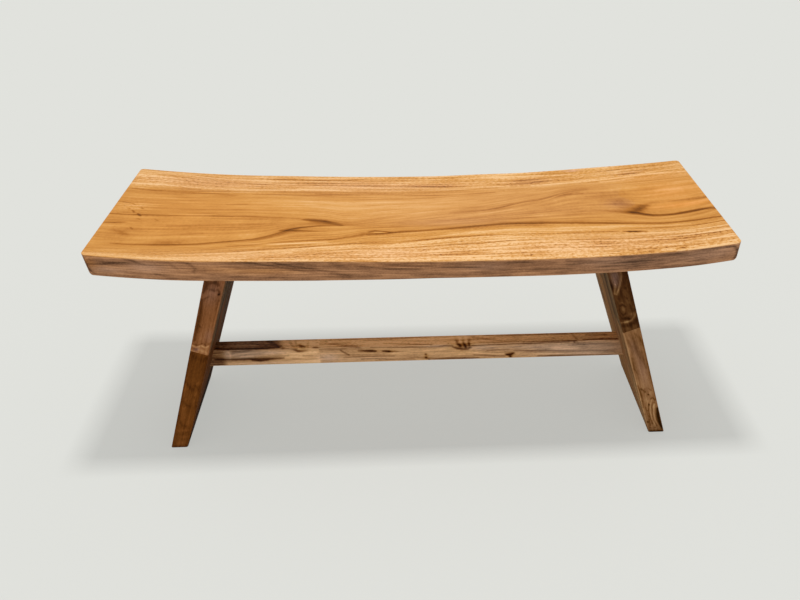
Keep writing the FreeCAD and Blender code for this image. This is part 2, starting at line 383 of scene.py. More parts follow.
def make_board(name, rings, fields, material, nodes):
    """Turns rings of points in millimetres into a piece of the bench that replaces its solids."""
    faces = skin(rings)
    points = rings.reshape(-1, 3)
    litres = volume_litres(points, faces)
    if litres < 0:
        faces = [face[::-1] for face in faces]
    mesh = bpy.data.meshes.new(name)
    mesh.from_pydata(points * MM, [], faces)
    mesh.shade_smooth()
    mesh.set_sharp_from_angle(angle=SHARP_ANGLE)
    grain = mesh.attributes.new("grain", "FLOAT_VECTOR", "POINT")
    grain.data.foreach_set("vector", fields["grain"].astype(np.float32).ravel())
    for field in ("shade", "stain", "open"):
        values = mesh.attributes.new(field, "FLOAT", "POINT")
        values.data.foreach_set("value", fields[field].astype(np.float32).ravel())
    tint = mesh.attributes.new("tint", "FLOAT_COLOR", "POINT")
    colours = np.broadcast_to(fields["tint"], (*rings.shape[:2], 4))
    tint.data.foreach_set("color", colours.astype(np.float32).ravel())
    mesh.materials.append(material)
    piece = bpy.data.objects.new(name, mesh)
    bpy.context.scene.collection.objects.link(piece)
    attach(piece, "root")
    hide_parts(*nodes)
    print(f"{name}: {len(faces)} faces, {abs(litres):.2f} litres")


def section_ring(radii, counts):
    """Shares and offsets of a ring round a rectangle with rounded corners.

    Returns rows (a, b, off_a, off_b): a and b run from -1 to 1 over the sharp rectangle, and the
    offsets in millimetres draw the corners in on arcs. At an angle of its arc a corner draws in
    by the radius times 1 - sin along the side that starts there, and 1 - cos square to it. Radii
    go round the corners (-1, 1), (1, 1), (1, -1), (-1, -1), counts round the sides top, right,
    bottom, left.
    """
    rows = []
    for index in range(4):
        (a0, b0), (a1, b1) = CORNERS[index], CORNERS[(index + 1) % 4]
        r0, r1 = radii[index], radii[(index + 1) % 4]
        side = np.array((a1 - a0, b1 - b0)) / 2
        if r0 > 0:
            for angle in ARC_ANGLES:
                gaps = (1 - np.sin(angle), 1 - np.cos(angle))
                gap_a, gap_b = gaps if side[0] != 0 else gaps[::-1]
                rows.append((a0, b0, -a0 * r0 * gap_a, -b0 * r0 * gap_b))
        share = np.linspace(0, 1, counts[index] + 1)[:, None]
        if r1 == 0:
            share = share[:-1]
        start = np.array((a0, b0, side[0] * r0, side[1] * r0))
        stop = np.array((a1, b1, -side[0] * r1, -side[1] * r1))
        rows.extend(map(tuple, start * (1 - share) + stop * share))
    return np.array(rows)


print("points round a section with 8 steps a side:", len(section_ring((1.0,) * 4, (8,) * 4)))

# %% [markdown]
# ## Teak, planed and oiled
#
# Teak is golden brown, with long dark rings, thin streaks and open pores that show as short
# dashes along the grain. Planed, sanded and oiled, it has a low satin gloss. The graph first
# reads how light the wood is at the point, then adds streaks and takes away pores, and looks the
# sum up on a scale of shades from the darkest ring to the palest wood. Only then is there a
# colour, so streaks and rings shift in hue the way that real ones do. Last, oil and age redden
# some places and gild others: there the colour takes the hue of a tint.
# On the legs' inner faces the tint paints the olive cast of shade instead.

# %% Teak material
STREAK_SIZE = (110.0, 2.6, 2.6)
BAND_SIZE = (300.0, 8.0, 8.0)
DASH_SIZE = (6.5, 2.6, 2.6)
PORE_SIZE = (5.5, 1.7, 1.7)
CLOUD_SIZE = (46.0, 20.0, 20.0)
NOISE_DETAIL = (3, 2, 2, 1, 2)
NOISE_GAIN = 4.0
# a pore comes in between these values of its noise, and pores cover about this share
PORE_EDGE = (0.56, 0.70)
PORE_SHARE = 0.2
# slope and least value of the gain by openness, for streaks and bands and for dashes and pores
LONG_GAIN = (2.0, 1.0)
SHORT_GAIN = (2.6, 0.25)
ROUGH_SPREAD = 0.24
PORE_RELIEF = -0.6
BUMP_STRENGTH = 0.35
BUMP_HEIGHT = 0.15
TEAK_IOR = 1.5


def teak(name, shades, streaks, bands, dashes, pores, clouds, rough=0.66, sheen=0.07):
    """Planed and oiled teak. Shades maps a lightness from 0 to 1 to a colour. Sizes of streaks,
    bands, dashes and pores are millimetres along the grain and across it. Real pores are 0.3 mm
    wide, and are drawn wider because the picture wouldn't show them. Where the grain is more
    open all four are stronger, by slope times openness plus the least gain, and dashes and pores
    all but vanish where it is closed. Clouds are the mottle that fibres of changing slope give,
    the same everywhere. A stain draws the hue and the saturation to the tint's and keeps the
    value."""
    material, tree, end = new_material(name)
    grain = add(tree, "ShaderNodeAttribute", {}, attribute_name="grain").outputs["Vector"]
    tint = add(tree, "ShaderNodeAttribute", {}, attribute_name="tint").outputs["Color"]
    shade, stained, open_grain = (
        add(tree, "ShaderNodeAttribute", {}, attribute_name=field).outputs["Fac"]
        for field in ("shade", "stain", "open")
    )

    noises = []
    sizes = (STREAK_SIZE, BAND_SIZE, DASH_SIZE, PORE_SIZE, CLOUD_SIZE)
    for size, detail in zip(sizes, NOISE_DETAIL):
        rate = tuple(1 / length for length in size)
        scaled = add(tree, "ShaderNodeVectorMath", {0: grain, 1: rate}, operation="MULTIPLY").outputs[0]
        noise = add(tree, "ShaderNodeTexNoise", {"Vector": scaled, "Scale": 1.0, "Detail": detail})
        noises.append(noise.outputs["Fac"])
    streak, band, dash, pore_noise, cloud = noises
    edge = {"Value": pore_noise, "From Min": PORE_EDGE[0], "From Max": PORE_EDGE[1]}
    pore = add(tree, "ShaderNodeMapRange", edge, interpolation_type="SMOOTHSTEP").outputs["Result"]

    long_gain, short_gain = (
        add(tree, "ShaderNodeMath", {0: open_grain, 1: slope, 2: least}, operation="MULTIPLY_ADD").outputs[0]
        for slope, least in (LONG_GAIN, SHORT_GAIN)
    )
    total = shade
    for part, amount, middle, gain in (
        (streak, NOISE_GAIN * streaks, 0.5, long_gain),
        (band, NOISE_GAIN * bands, 0.5, long_gain),
        (dash, NOISE_GAIN * dashes, 0.5, short_gain),
        (pore, -pores, PORE_SHARE, short_gain),
        (cloud, NOISE_GAIN * clouds, 0.5, 1.0),
    ):
        centred = add(tree, "ShaderNodeMath", {0: part, 1: middle}, operation="SUBTRACT").outputs[0]
        scaled = add(tree, "ShaderNodeMath", {0: centred, 1: amount}, operation="MULTIPLY").outputs[0]
        total = add(
            tree, "ShaderNodeMath", {0: scaled, 1: gain, 2: total}, operation="MULTIPLY_ADD"
        ).outputs[0]
    ramp = add(tree, "ShaderNodeValToRGB", {"Fac": total})
    scale = ramp.color_ramp.elements
    while len(scale) < len(shades):
        scale.new(0.5)
    for element, (position, colour) in zip(scale, sorted(shades.items())):
        element.position = position
        element.color = linear(colour)
    colours = {0: stained, 6: ramp.outputs["Color"], 7: tint}
    tinted = add(tree, "ShaderNodeMix", colours, data_type="RGBA", blend_type="COLOR").outputs[2]

    dull = {0: streak, 1: ROUGH_SPREAD, 2: rough - ROUGH_SPREAD / 2}
    matt = add(tree, "ShaderNodeMath", dull, operation="MULTIPLY_ADD")
    relief = add(tree, "ShaderNodeMath", {0: pore, 1: PORE_RELIEF, 2: streak}, operation="MULTIPLY_ADD")
    height = {"Strength": BUMP_STRENGTH, "Distance": BUMP_HEIGHT * MM, "Height": relief.outputs[0]}
    surface = {
        "Base Color": tinted,
        "Roughness": matt.outputs[0],
        "IOR": TEAK_IOR,
        "Specular IOR Level": sheen,
        "Normal": add(tree, "ShaderNodeBump", height).outputs[0],
    }
    shader = add(tree, "ShaderNodeBsdfPrincipled", surface)
    tree.links.new(shader.outputs[0], end)
    return material


SEAT_SHADES = {
    0.0: "#5E3208",
    0.2: "#8E5417",
    0.4: "#B4732E",
    0.55: "#CB8B42",
    0.7: "#DA9C50",
    0.85: "#E6AF6C",
    1.0: "#F3C58C",
}
SEAT_TEXTURE = {"streaks": 0.135, "bands": 0.09, "dashes": 0.085, "pores": 0.10, "clouds": 0.06}
seat_teak = teak("planed_oiled_teak_slab", SEAT_SHADES, **SEAT_TEXTURE)
ROSE_TINT = linear("#98735A")
GOLD_TINT = linear("#E08C34")
print("shades of the slab:", len(SEAT_SHADES))

# %% [markdown]
# ## The seat slab
#
# The seat is one flat-sawn slab, hollowed along its length, with its ends about 23 mm up. It was
# shaped by hand, so its front and back edges wander by a few millimetres, and its corners are
# sanded round. The slab could be a cube that is bent by a modifier, but a height formula along
# the length gives the true curve, and the figure can be worked out from the same coordinates.

# %% Shape of the seat
FRONT_WANDER = (
    (-525, 0.4), (-450, 0.6), (-390, 0.9), (-350, 1.8), (-298, 3.2), (-225, 3.8), (-173, 3.3),
    (-125, 2), (-78, 0.6), (-30, -0.6), (40, -1.5), (200, -1.4), (300, -1.8), (380, -2.7), (455, -3.4),
    (525, -1.6),
)
BACK_WANDER = (
    (-525, -1.2), (-415, -0.2), (-340, 0.4), (-235, 1.1), (-166, -0.4), (-107, -1.8), (-29, -2.9),
    (50, -2.7), (130, -0.4), (210, 1.1), (290, 3.2), (370, 3.8), (430, 2.6), (525, 0),
)


def wander(x, y):
    """Height of the hand-shaped surface over the drawn one: the front edge's and the back edge's
    own curves, blended straight across the seat."""
    share = straight_step(y, -HALF_DEPTH, 2 * HALF_DEPTH)
    return smooth_through(x, FRONT_WANDER) * (1 - share) + smooth_through(x, BACK_WANDER) * share


def past_flat(x):
    """How far a place is beyond the flat middle: |x| less half the flat's length, at least 0."""
    return np.maximum(np.abs(x) - HALF_FLAT, 0)


def seat_top(x, y):
    """Flat in the middle, then tangent arcs: R less the root of R² less the distance past the
    flat squared, plus the wander."""
    rise = RISE_RADIUS - np.sqrt(RISE_RADIUS**2 - past_flat(x) ** 2)
    return SEAT_HEIGHT + rise + wander(x, y)


def seat_underside(x, y):
    """Arcs about the same centres as the top's, larger by the thickness, which goes from the
    left thickness to the right one along a straight ramp."""
    outer = RISE_RADIUS + np.interp(x, (-HALF_FLAT, THINNING_END), (THICK_LEFT, THICK_RIGHT))
    return SEAT_HEIGHT + RISE_RADIUS - np.sqrt(outer**2 - past_flat(x) ** 2) + wander(x, y)


def rounding(distance, radius):
    """How far a quarter circle of this radius draws in, at a distance from where it ends."""
    inside = np.clip(radius - distance, 0, radius)
    return radius - np.sqrt(radius**2 - inside**2)


SEAT_STATIONS = 366
END_STATIONS = 14
# rings stand this far from an end where it is rounded, and evenly further in
END_EASE = np.array((0.0, 0.1, 0.4, 0.9, 1.6, 2.6, 4.0, 6.0, 8.0))
EVEN_FROM = 10.0
# rings on an end shrink to this size towards this level, -1 being underside and 1 the top
END_FOCUS = -0.88
SMALLEST_RING = 0.03
UNDERCUT_LENGTH = 60.0
END_SKIN = 1.5
ARRIS_MARGIN = 0.5
SEAT_RING = section_ring((ARRIS,) * 4, (196, 8, 10, 18))


def seat_rings():
    """Rings of points from the left end to the right one. Close to an end they stand nearer
    together, and there the ring narrows on the corner radius, its top drops on the arris and its
    underside rises on the end radius. On the end face itself the ring shrinks towards a line near
    the lower edge, in steps that give the end grain its points. The ends lean by the undercut.
    Also returns depths below the top, and which points are on an end."""
    even = np.linspace(EVEN_FROM - HALF_LENGTH, HALF_LENGTH - EVEN_FROM, SEAT_STATIONS - 2 * len(END_EASE))
    x = np.concatenate([END_EASE - HALF_LENGTH, even, HALF_LENGTH - END_EASE[::-1]])
    x = np.pad(x, END_STATIONS, mode="edge")[:, None]
    shrunk = np.linspace(SMALLEST_RING, 1, END_STATIONS, endpoint=False)
    size = np.concatenate([shrunk, np.ones(SEAT_STATIONS), shrunk[::-1]])[:, None]
    from_end = HALF_LENGTH - np.abs(x)
    a, b, off_a, off_b = SEAT_RING.T
    b = END_FOCUS + (b - END_FOCUS) * size
    half = HALF_DEPTH - rounding(from_end, SEAT_CORNER_RADIUS)
    y = a * half + off_a
    top = seat_top(x, y) - rounding(from_end, ARRIS)
    under = seat_underside(x, y) + rounding(from_end, SEAT_END_RADIUS)
    z = top * (1 + b) / 2 + under * (1 - b) / 2 + off_b * size
    depth = seat_top(x, y) - z
    undercut = np.where(x < 0, UNDERCUT_LEFT, -UNDERCUT_RIGHT) * depth / THICK_LEFT
    near_end = straight_step(np.abs(x), HALF_LENGTH - UNDERCUT_LENGTH, UNDERCUT_LENGTH)
    shifted = np.clip(x + undercut * near_end, seat_low[0], seat_high[0])
    points = np.stack(np.broadcast_arrays(shifted, y, np.minimum(z, seat_high[2])), axis=-1)
    turned_down = (from_end < SEAT_END_RADIUS / 2) & (np.abs(y) < HALF_DEPTH - SEAT_CORNER_RADIUS)
    below_arris = (depth > ARRIS + ARRIS_MARGIN) & (turned_down | (from_end < END_SKIN))
    return points, depth, (from_end == 0) | below_arris


rings_of_seat, seat_depth_below, seat_ends = seat_rings()
print("seat from", rings_of_seat.reshape(-1, 3).min(0), "to", rings_of_seat.reshape(-1, 3).max(0))

# %% [markdown]
# The rings that run the whole length of the slab are its skeleton. Seen from above, they are
# lines from the left end to the right end that swing together: one round the eye on the left,
# one along the middle of the front, one up to the back on the right. Streaks and pores follow
# them, so the place of a point in the grain is measured from the lines on either side of it.

# %% Grain lines of the seat
GRAIN_LINES = {
    -150.0: (
        (-525, -172), (-200, -151), (-100, -141), (0, -134), (100, -124), (225, -116), (325, -121),
        (525, -130),
    ),
    -118.0: (
        (-525, -165), (-450, -157), (-300, -140), (-200, -127), (-100, -113), (0, -104), (75, -91),
        (175, -85), (250, -89), (370, -100), (450, -104), (525, -106),
    ),
    -85.0: (
        (-525, -150), (-400, -139), (-300, -125), (-225, -111), (-125, -96), (-100, -83), (-60, -75),
        (0, -66), (75, -55), (175, -44), (250, -52), (325, -62), (425, -80), (500, -79), (525, -73),
    ),
    -50.0: (
        (-525, -136), (-460, -134), (-400, -124), (-325, -111), (-270, -97), (-240, -80), (-210, -57),
        (-185, -49), (-128, -47), (-50, -44), (50, -37), (150, -28), (250, -22), (330, -20), (365, -25),
        (392, -35), (415, -48), (450, -51), (500, -45), (525, -38),
    ),
    -20.0: (
        (-525, -27), (-450, -19), (-350, -12.5), (-275, -14), (-200, -21), (-160, -30), (-128, -42),
        (-50, -24), (60, 3), (125, 12), (165, 27), (200, 41), (245, 53), (275, 69), (350, 76),
        (525, 80),
    ),
    97.0: (
        (-525, 76), (-400, 82), (-300, 95), (-200, 97), (0, 95), (200, 100), (300, 104), (400, 104),
        (525, 106),
    ),
    130.0: (
        (-525, 150), (-475, 155), (-390, 140), (-300, 132), (-200, 128), (-50, 124), (60, 118),
        (225, 110), (325, 114), (400, 119), (475, 124), (525, 127),
    ),
}


def grain_across(x, y):
    """Place across the grain: at a grain line it is the line's own number, and between two lines
    it goes straight from one number to the other. The edges count as lines too."""
    numbers = [-HALF_DEPTH, *GRAIN_LINES, HALF_DEPTH]
    heights = [np.full(x.shape, -HALF_DEPTH - 1)]
    heights += [smooth_through(x, line) for line in GRAIN_LINES.values()]
    heights += [np.full(x.shape, HALF_DEPTH + 1)]
    across = np.full(x.shape, numbers[0])
    for index in range(len(numbers) - 1):
        share = (y - heights[index]) / np.maximum(heights[index + 1] - heights[index], 1.0)
        across += (numbers[index + 1] - numbers[index]) * np.clip(share, 0, 1)
    return across


print("grain lines:", len(GRAIN_LINES))

# %% [markdown]
# The dark rings themselves are drawn over that. Each list is one ring or mark on the top of the
# seat, from left to right: along, across, half width, strength.

# %% Dark rings of the seat
SEAT_RINGS = (
    # the upper side of the eye on the left
    ((-525, -27, 2.4, 0.36), (-500, -25, 2.4, 0.38), (-450, -19, 2.4, 0.36), (-400, -15, 2.2, 0.36),
     (-350, -11.5, 2.4, 0.4), (-300, -11, 2.4, 0.36), (-250, -14, 1.8, 0.28), (-205, -18, 1.8, 0.26)),
    ((-198, -22, 3.4, 0.34), (-182, -26, 6, 0.5), (-160, -30, 6.5, 0.5), (-146, -37, 5.5, 0.34),
     (-130, -45, 3.4, 0.3)),
    # the lower side of the eye
    ((-490, -132, 2.6, 0.18), (-460, -131, 2.4, 0.34), (-425, -127, 2.6, 0.52), (-400, -124, 2.6, 0.52),
     (-360, -119, 2.4, 0.42), (-300, -106, 2.6, 0.44), (-270, -99, 3.4, 0.44), (-250, -89, 5.5, 0.4),
     (-232, -76, 6.5, 0.38), (-218, -63, 5.5, 0.4), (-200, -55, 3.8, 0.46), (-170, -48, 3, 0.4),
     (-135, -46, 2.6, 0.26), (-90, -46, 2, 0.08)),
    ((-232, -66, 3, 0.3), (-205, -67, 3, 0.44), (-180, -68, 2.6, 0.36), (-155, -69, 2.2, 0.14)),
    # the long ring along the middle of the front
    ((-310, -126, 1.8, 0.16), (-275, -121, 2, 0.3), (-225, -110, 2.2, 0.4), (-175, -103, 2.8, 0.46),
     (-140, -99, 3.2, 0.4), (-110, -88, 4.6, 0.37), (-90, -79, 5.2, 0.46), (-60, -76, 4.2, 0.56),
     (-25, -69, 4.4, 0.56), (0, -67, 3.4, 0.56), (50, -60, 3.8, 0.54), (100, -53, 4, 0.52),
     (150, -47, 5, 0.45), (175, -46, 5.4, 0.45), (225, -48.5, 4.8, 0.47), (275, -54, 4.4, 0.5),
     (325, -62, 4, 0.52), (375, -70.5, 3.2, 0.5), (425, -79, 2.8, 0.46), (475, -80.5, 2.6, 0.5),
     (525, -79, 2.2, 0.5)),
    ((-82, -70, 2.6, 0.4), (-72, -66, 2.6, 0.5), (-62, -67, 2.4, 0.46), (-44, -71, 2.4, 0.3)),
    # the edge of the pale front strip
    ((-500, -163, 1.4, 0.1), (-400, -152, 1.8, 0.2), (-300, -140, 1.8, 0.26), (-200, -129, 2.2, 0.34),
     (-150, -121, 2.2, 0.4), (-100, -114, 2.2, 0.4), (-40, -112, 2.2, 0.38), (0, -104, 2.2, 0.42),
     (50, -95, 2.4, 0.44), (100, -89, 2.4, 0.46), (160, -87, 2.4, 0.44), (250, -89, 2.2, 0.4),
     (335, -95, 2, 0.3)),
    ((352, -97.5, 1.8, 0.5), (362, -99, 2.6, 0.95), (372, -100.5, 2.8, 1), (390, -103, 1.8, 0.4)),
    # fine rings inside the front strip
    ((-200, -147, 1.8, 0.36), (-150, -142, 2, 0.42), (-100, -134, 2.2, 0.46), (-50, -133, 2, 0.42),
     (0, -127, 1.8, 0.4), (50, -120, 1.8, 0.38), (110, -117, 1.8, 0.36), (150, -111, 1.8, 0.4),
     (225, -107, 1.8, 0.36), (320, -113, 1.8, 0.42), (400, -118, 1.8, 0.42), (450, -121, 1.6, 0.36),
     (525, -118, 1.6, 0.3)),
    ((170, -117, 1.6, 0.1), (260, -117, 1.8, 0.34), (350, -123, 1.8, 0.36), (430, -129, 1.6, 0.36),
     (525, -131, 1.6, 0.3)),
    ((300, -132, 1.4, 0.2), (380, -134, 1.8, 0.34), (460, -138, 1.8, 0.34), (525, -140, 1.4, 0.24)),
    ((400, -147, 1.6, 0.2), (450, -146, 1.6, 0.3), (500, -145, 1.6, 0.26)),
    ((410, -94, 1.8, 0.1), (470, -98, 1.8, 0.28), (525, -95, 1.8, 0.26)),
    ((400, -106, 1.8, 0.16), (460, -110, 1.8, 0.24), (525, -108, 1.6, 0.2)),
    ((0, -141, 1.8, 0.3), (60, -132, 1.8, 0.36), (130, -130, 1.8, 0.3), (200, -126, 1.8, 0.24),
     (250, -132, 1.6, 0.28)),
    ((-60, -151, 1.6, 0.14), (40, -146, 1.8, 0.3), (120, -141, 1.8, 0.3), (200, -137, 1.8, 0.28),
     (290, -144, 1.8, 0.3), (360, -143, 1.6, 0.14)),
    ((60, -158, 1.6, 0.24), (150, -155, 1.8, 0.3), (250, -158, 1.8, 0.3), (330, -163, 1.6, 0.2)),
    ((-340, -158, 1.6, 0.24), (-280, -152, 1.8, 0.3), (-220, -146, 1.6, 0.2)),
    ((-440, -163, 1.6, 0.24), (-360, -152, 1.8, 0.26), (-280, -142, 1.6, 0.16)),
    ((-280, -170, 1.6, 0.34), (-230, -163, 1.8, 0.3), (-160, -158, 1.6, 0.2)),
    ((-255, -128, 1.6, 0.2), (-215, -122, 1.8, 0.26), (-170, -117, 1.6, 0.16)),
    ((375, -169, 2, 0.4), (392, -168, 2, 0.4)),
    ((424, -167, 2.4, 0.6), (436, -168, 2.4, 0.6)),
    # the ring that climbs to the back on the right
    ((60, 3, 3, 0.14), (90, 7, 3.4, 0.24), (125, 11, 3.4, 0.26), (150, 18, 3.2, 0.3),
     (180, 32, 3, 0.32), (200, 40, 3, 0.34), (230, 46, 3.4, 0.34), (255, 57, 4.5, 0.28),
     (280, 66, 6, 0.24), (320, 78, 7, 0.14)),
    ((80, 20, 3, 0.08), (130, 24, 3.6, 0.2), (175, 36, 3, 0.12)),
    ((282, 60, 2, 0.2), (296, 60, 2.2, 0.24), (312, 62, 1.8, 0.2)),
    # the swirl near the right end
    ((345, -21, 3, 0.1), (365, -26, 4.4, 0.3), (380, -30, 5, 0.46), (392, -34, 5, 0.52),
     (402, -41, 4.6, 0.5), (415, -46, 4.2, 0.48), (432, -49, 3.8, 0.46), (450, -50, 4, 0.5),
     (475, -47, 4.6, 0.54), (500, -44, 4.8, 0.55), (525, -45, 4.4, 0.55)),
    ((384, -28, 7, 0.32), (396, -20, 10, 0.5), (405, -13, 10.5, 0.5), (414, -6, 8.5, 0.38),
     (424, 2, 5.5, 0.18), (450, 4, 3.6, 0.12), (490, 0, 4, 0.18), (525, -1, 4, 0.16)),
    # flecks on the left
    ((-515, 22, 1.8, 0.3), (-498, 20, 1.8, 0.4), (-492, 14, 1.6, 0.2)),
    ((-503, 2, 1.8, 0.2), (-497, -2, 1.8, 0.3)),
    ((-491, -8, 2, 0.45), (-487, -14, 1.8, 0.4)),
    ((-480, 5, 1.8, 0.5), (-476, 2, 1.6, 0.4)),
    ((-479, -19, 2.2, 0.5), (-474, -26, 2.2, 0.55)),
    ((-475, -37, 1.8, 0.3), (-470, -40, 1.6, 0.2)),
    ((-446, -35, 1.8, 0.24), (-442, -40, 1.8, 0.2)),
    ((-522, -60, 1.8, 0.2), (-508, -58, 2.2, 0.44), (-490, -54, 2, 0.34)),
    ((-502, -86, 5, 0.14), (-486, -92, 6, 0.2), (-474, -102, 6, 0.1)),
    ((-478, -70, 1.6, 0.3), (-474, -77, 1.6, 0.3)),
    ((-340, 37, 1.8, 0.14), (-320, 39, 1.8, 0.24), (-303, 40, 1.6, 0.16)),
    # long brown dashes at the back
    ((-480, 152, 2.6, 0.2), (-430, 148, 3, 0.32), (-390, 140, 3, 0.34), (-330, 135, 2.4, 0.3),
     (-240, 129, 2.2, 0.34), (-215, 128, 2.2, 0.4), (-150, 130, 2.2, 0.34), (-100, 130, 2.2, 0.34),
     (-60, 126, 2, 0.14)),
    ((-30, 131, 4, 0.14), (20, 128, 5, 0.24), (60, 126, 4.6, 0.24), (100, 120, 4, 0.1)),
    ((-320, 97, 1.6, 0.14), (-240, 97, 2.2, 0.3), (-100, 97, 2.6, 0.36), (-70, 97, 2.2, 0.34),
     (25, 96, 2.2, 0.3), (80, 100, 2, 0.24), (160, 108, 1.8, 0.28)),
    ((-300, 84, 1.8, 0.2), (-200, 83, 2.2, 0.26), (-80, 88, 2, 0.24), (60, 80, 2, 0.2),
     (150, 86, 2, 0.24)),
    ((-300, 160, 1.8, 0.2), (-150, 154, 2, 0.28), (-80, 166, 2, 0.24), (40, 164, 2, 0.24)),
    ((100, 143, 3, 0.1), (150, 140, 5, 0.18), (200, 137, 6, 0.22), (250, 140, 5, 0.14)),
    ((160, 122, 5, 0.12), (200, 121, 6, 0.22), (250, 124, 5, 0.14)),
    ((330, 108, 1.8, 0.14), (370, 109, 1.8, 0.26), (400, 112, 1.8, 0.2)),
    ((395, 132, 2.6, 0.3), (425, 134, 3, 0.44), (445, 132, 2.4, 0.2)),
    ((400, 145, 2.6, 0.3), (430, 146, 3, 0.4), (460, 143, 2, 0.2)),
    ((240, 162, 2, 0.2), (330, 150, 2.2, 0.24), (420, 158, 2, 0.24), (500, 158, 2, 0.2)),
    ((-520, 84, 3.6, 0.1), (-480, 82, 5, 0.2), (-420, 84, 5, 0.2), (-370, 82, 4, 0.2),
     (-330, 78, 3, 0.12)),
    ((-520, 98, 2.4, 0.12), (-460, 104, 2.4, 0.16), (-400, 99, 2.4, 0.14)),
)

# %% [markdown]
# Between the rings the wood isn't one shade. These wide soft patches are what the eye sees from
# across the room: a deep orange heart, paler strips at the front and back, and a painted highlight
# where the dish reflects the lamp.
# Each is a centre, two half widths and an amount. Stains and gold spots have the same form, and
# their amount is how far the hue goes to the rose or to the gold tint. The grain is coarser in
# the strips, so there the streaks and pores are stronger.

# %% Shade of the seat
SEAT_PATCHES = (
    (-380, 30, 120, 40, -0.03), (-480, -120, 40, 14, 0.03), (500, 20, 60, 50, 0.05),
    # the patches at (-60, 38) and (-60, 4) are a painted highlight: the lamp's reflection in the dish
    (-220, -70, 24, 12, 0.05), (-60, 38, 170, 34, 0.14), (-60, 4, 150, 26, 0.07),
    (-250, 50, 90, 26, 0.1), (-430, 42, 90, 18, 0.05), (-300, -50, 130, 26, -0.05),
    (-420, 84, 100, 18, -0.08), (-503, 12, 22, 14, 0.15), (-215, -66, 40, 18, -0.1),
    (-60, -42, 110, 16, -0.07), (120, -30, 90, 14, -0.08), (70, 12, 40, 14, -0.07),
    (160, 62, 90, 26, 0.04), (200, 4, 90, 22, -0.03), (240, 18, 26, 10, -0.07), (300, 82, 46, 12, -0.1),
    (330, 34, 40, 18, -0.07), (371, 12, 20, 16, -0.23), (380, -12, 18, 16, -0.16),
    (350, -16, 26, 10, -0.07), (-165, -38, 26, 8, -0.14), (170, -60, 16, 8, 0.08),
    (460, -16, 60, 13, 0.09), (490, 45, 60, 34, 0.14), (440, 30, 40, 20, 0.08), (-165, 110, 60, 7, 0.1),
    (-470, 120, 46, 8, 0.08), (40, 127, 90, 9, -0.14), (220, 128, 46, 14, -0.12),
    (120, -73, 170, 9, 0.17), (320, -80, 90, 9, 0.2), (430, -96, 80, 14, 0.04),
    (-200, -114, 70, 5, 0.14), (-330, -135, 90, 6, -0.08), (260, -150, 160, 22, -0.09),
    (480, -150, 40, 16, 0.05), (500, -62, 30, 8, -0.06), (400, -130, 130, 40, -0.06),
    (-120, 32, 200, 7, 0.05), (-120, 18, 200, 5, -0.05), (-60, 54, 170, 7, 0.06),
    (-100, 70, 220, 6, -0.06), (-380, 56, 120, 7, 0.04), (-360, 10, 140, 5, -0.03),
    (-240, -16, 200, 4, 0.04), (-420, -70, 70, 8, -0.03), (-380, -46, 90, 6, 0.03),
    (260, 84, 90, 7, 0.05), (-480, -152, 70, 16, -0.05), (300, 145, 60, 10, -0.04),
)
PALE_STREAKS = (
    ((225, 111, 2.6, 0.3), (275, 112, 3, 0.5), (325, 115, 3, 0.5), (375, 117, 3.4, 0.7),
     (400, 121, 3.6, 0.7), (450, 125, 4, 0.8), (475, 123, 4, 0.8), (500, 122, 3.4, 0.6),
     (525, 120, 3, 0.5)),
    ((355, 106, 2.6, 0.5), (400, 109, 3, 0.6), (420, 113, 2.6, 0.4)),
    ((150, 113, 2, 0.3), (180, 110, 2, 0.3)),
    ((-220, 112, 2.6, 0.4), (-165, 108, 3, 0.5), (-120, 104, 2.6, 0.3)),
    ((-360, 106, 2, 0.3), (-300, 104, 2.2, 0.4), (-220, 103, 2, 0.4)),
    ((-72, -71.5, 2, 0.5), (-62, -72.5, 2, 0.6), (-52, -73, 1.8, 0.4)),
    ((-430, -11, 2.4, 0.14), (-390, -8, 2.8, 0.2), (-350, -6, 2.4, 0.14)),
    ((-300, -115, 2, 0.2), (-230, -117, 2.4, 0.4), (-150, -110, 2.4, 0.3)),
    ((-60, -120, 3, 0.3), (20, -110, 3.4, 0.4), (80, -101, 3.4, 0.4), (160, -98, 3.4, 0.3),
     (280, -99, 2.6, 0.3)),
    ((380, -108, 2.2, 0.3), (450, -114, 2.2, 0.5), (525, -112, 2, 0.4)),
    ((400, -124, 2, 0.4), (470, -126, 2, 0.5), (525, -125, 2, 0.4)),
    ((410, -150, 2.4, 0.4), (470, -151, 2.4, 0.5), (520, -150, 2, 0.3)),
    ((200, 156, 2.4, 0.3), (280, 153, 2.4, 0.5), (320, 152, 2.4, 0.3)),
)
SEAT_STAINS = (
    (312, 167, 14, 4, 0.9), (60, -36, 90, 14, 0.2), (366, 8, 24, 18, 0.2), (40, 127, 80, 10, 0.16),
    (220, 128, 50, 16, 0.2), (420, 138, 30, 12, 0.16), (-110, 130, 140, 30, 0.26),
    (-400, 130, 130, 30, 0.26), (-40, -150, 100, 22, 0.2), (300, -140, 220, 30, 0.2),
    (150, 60, 300, 60, 0.12), (120, -10, 220, 30, 0.12), (-260, -160, 160, 20, 0.15),
)
SEAT_GOLD = (
    (480, -18, 70, 14, 0.55), (470, 40, 70, 46, 0.4), (-400, -60, 150, 50, 0.18),
    (-400, 30, 150, 50, 0.18), (440, 112, 80, 16, 0.2),
)
COARSE_SPOT = ((-495, 8, 30, 26, 0.5),)
HEART_SHADE = 0.60
FRONT_STRIP_SHADE = 0.82
BACK_STRIP_SHADE = 0.74
# the back strip starts here, give or take waves of a height, a length over 2 pi and a shift
BACK_STRIP_START = 100.0
BACK_WAVES = ((3, 37, 0), (2, 15, 1))
STRIP_BLUR = (5.0, 8.0)
RING_BLUR = 3.0
RING_DEPTH = 0.85
STREAK_LIFT = 0.5
HEART_OPEN, FRONT_OPEN, BACK_OPEN, RING_OPEN = 0.09, 0.66, 0.71, 0.22


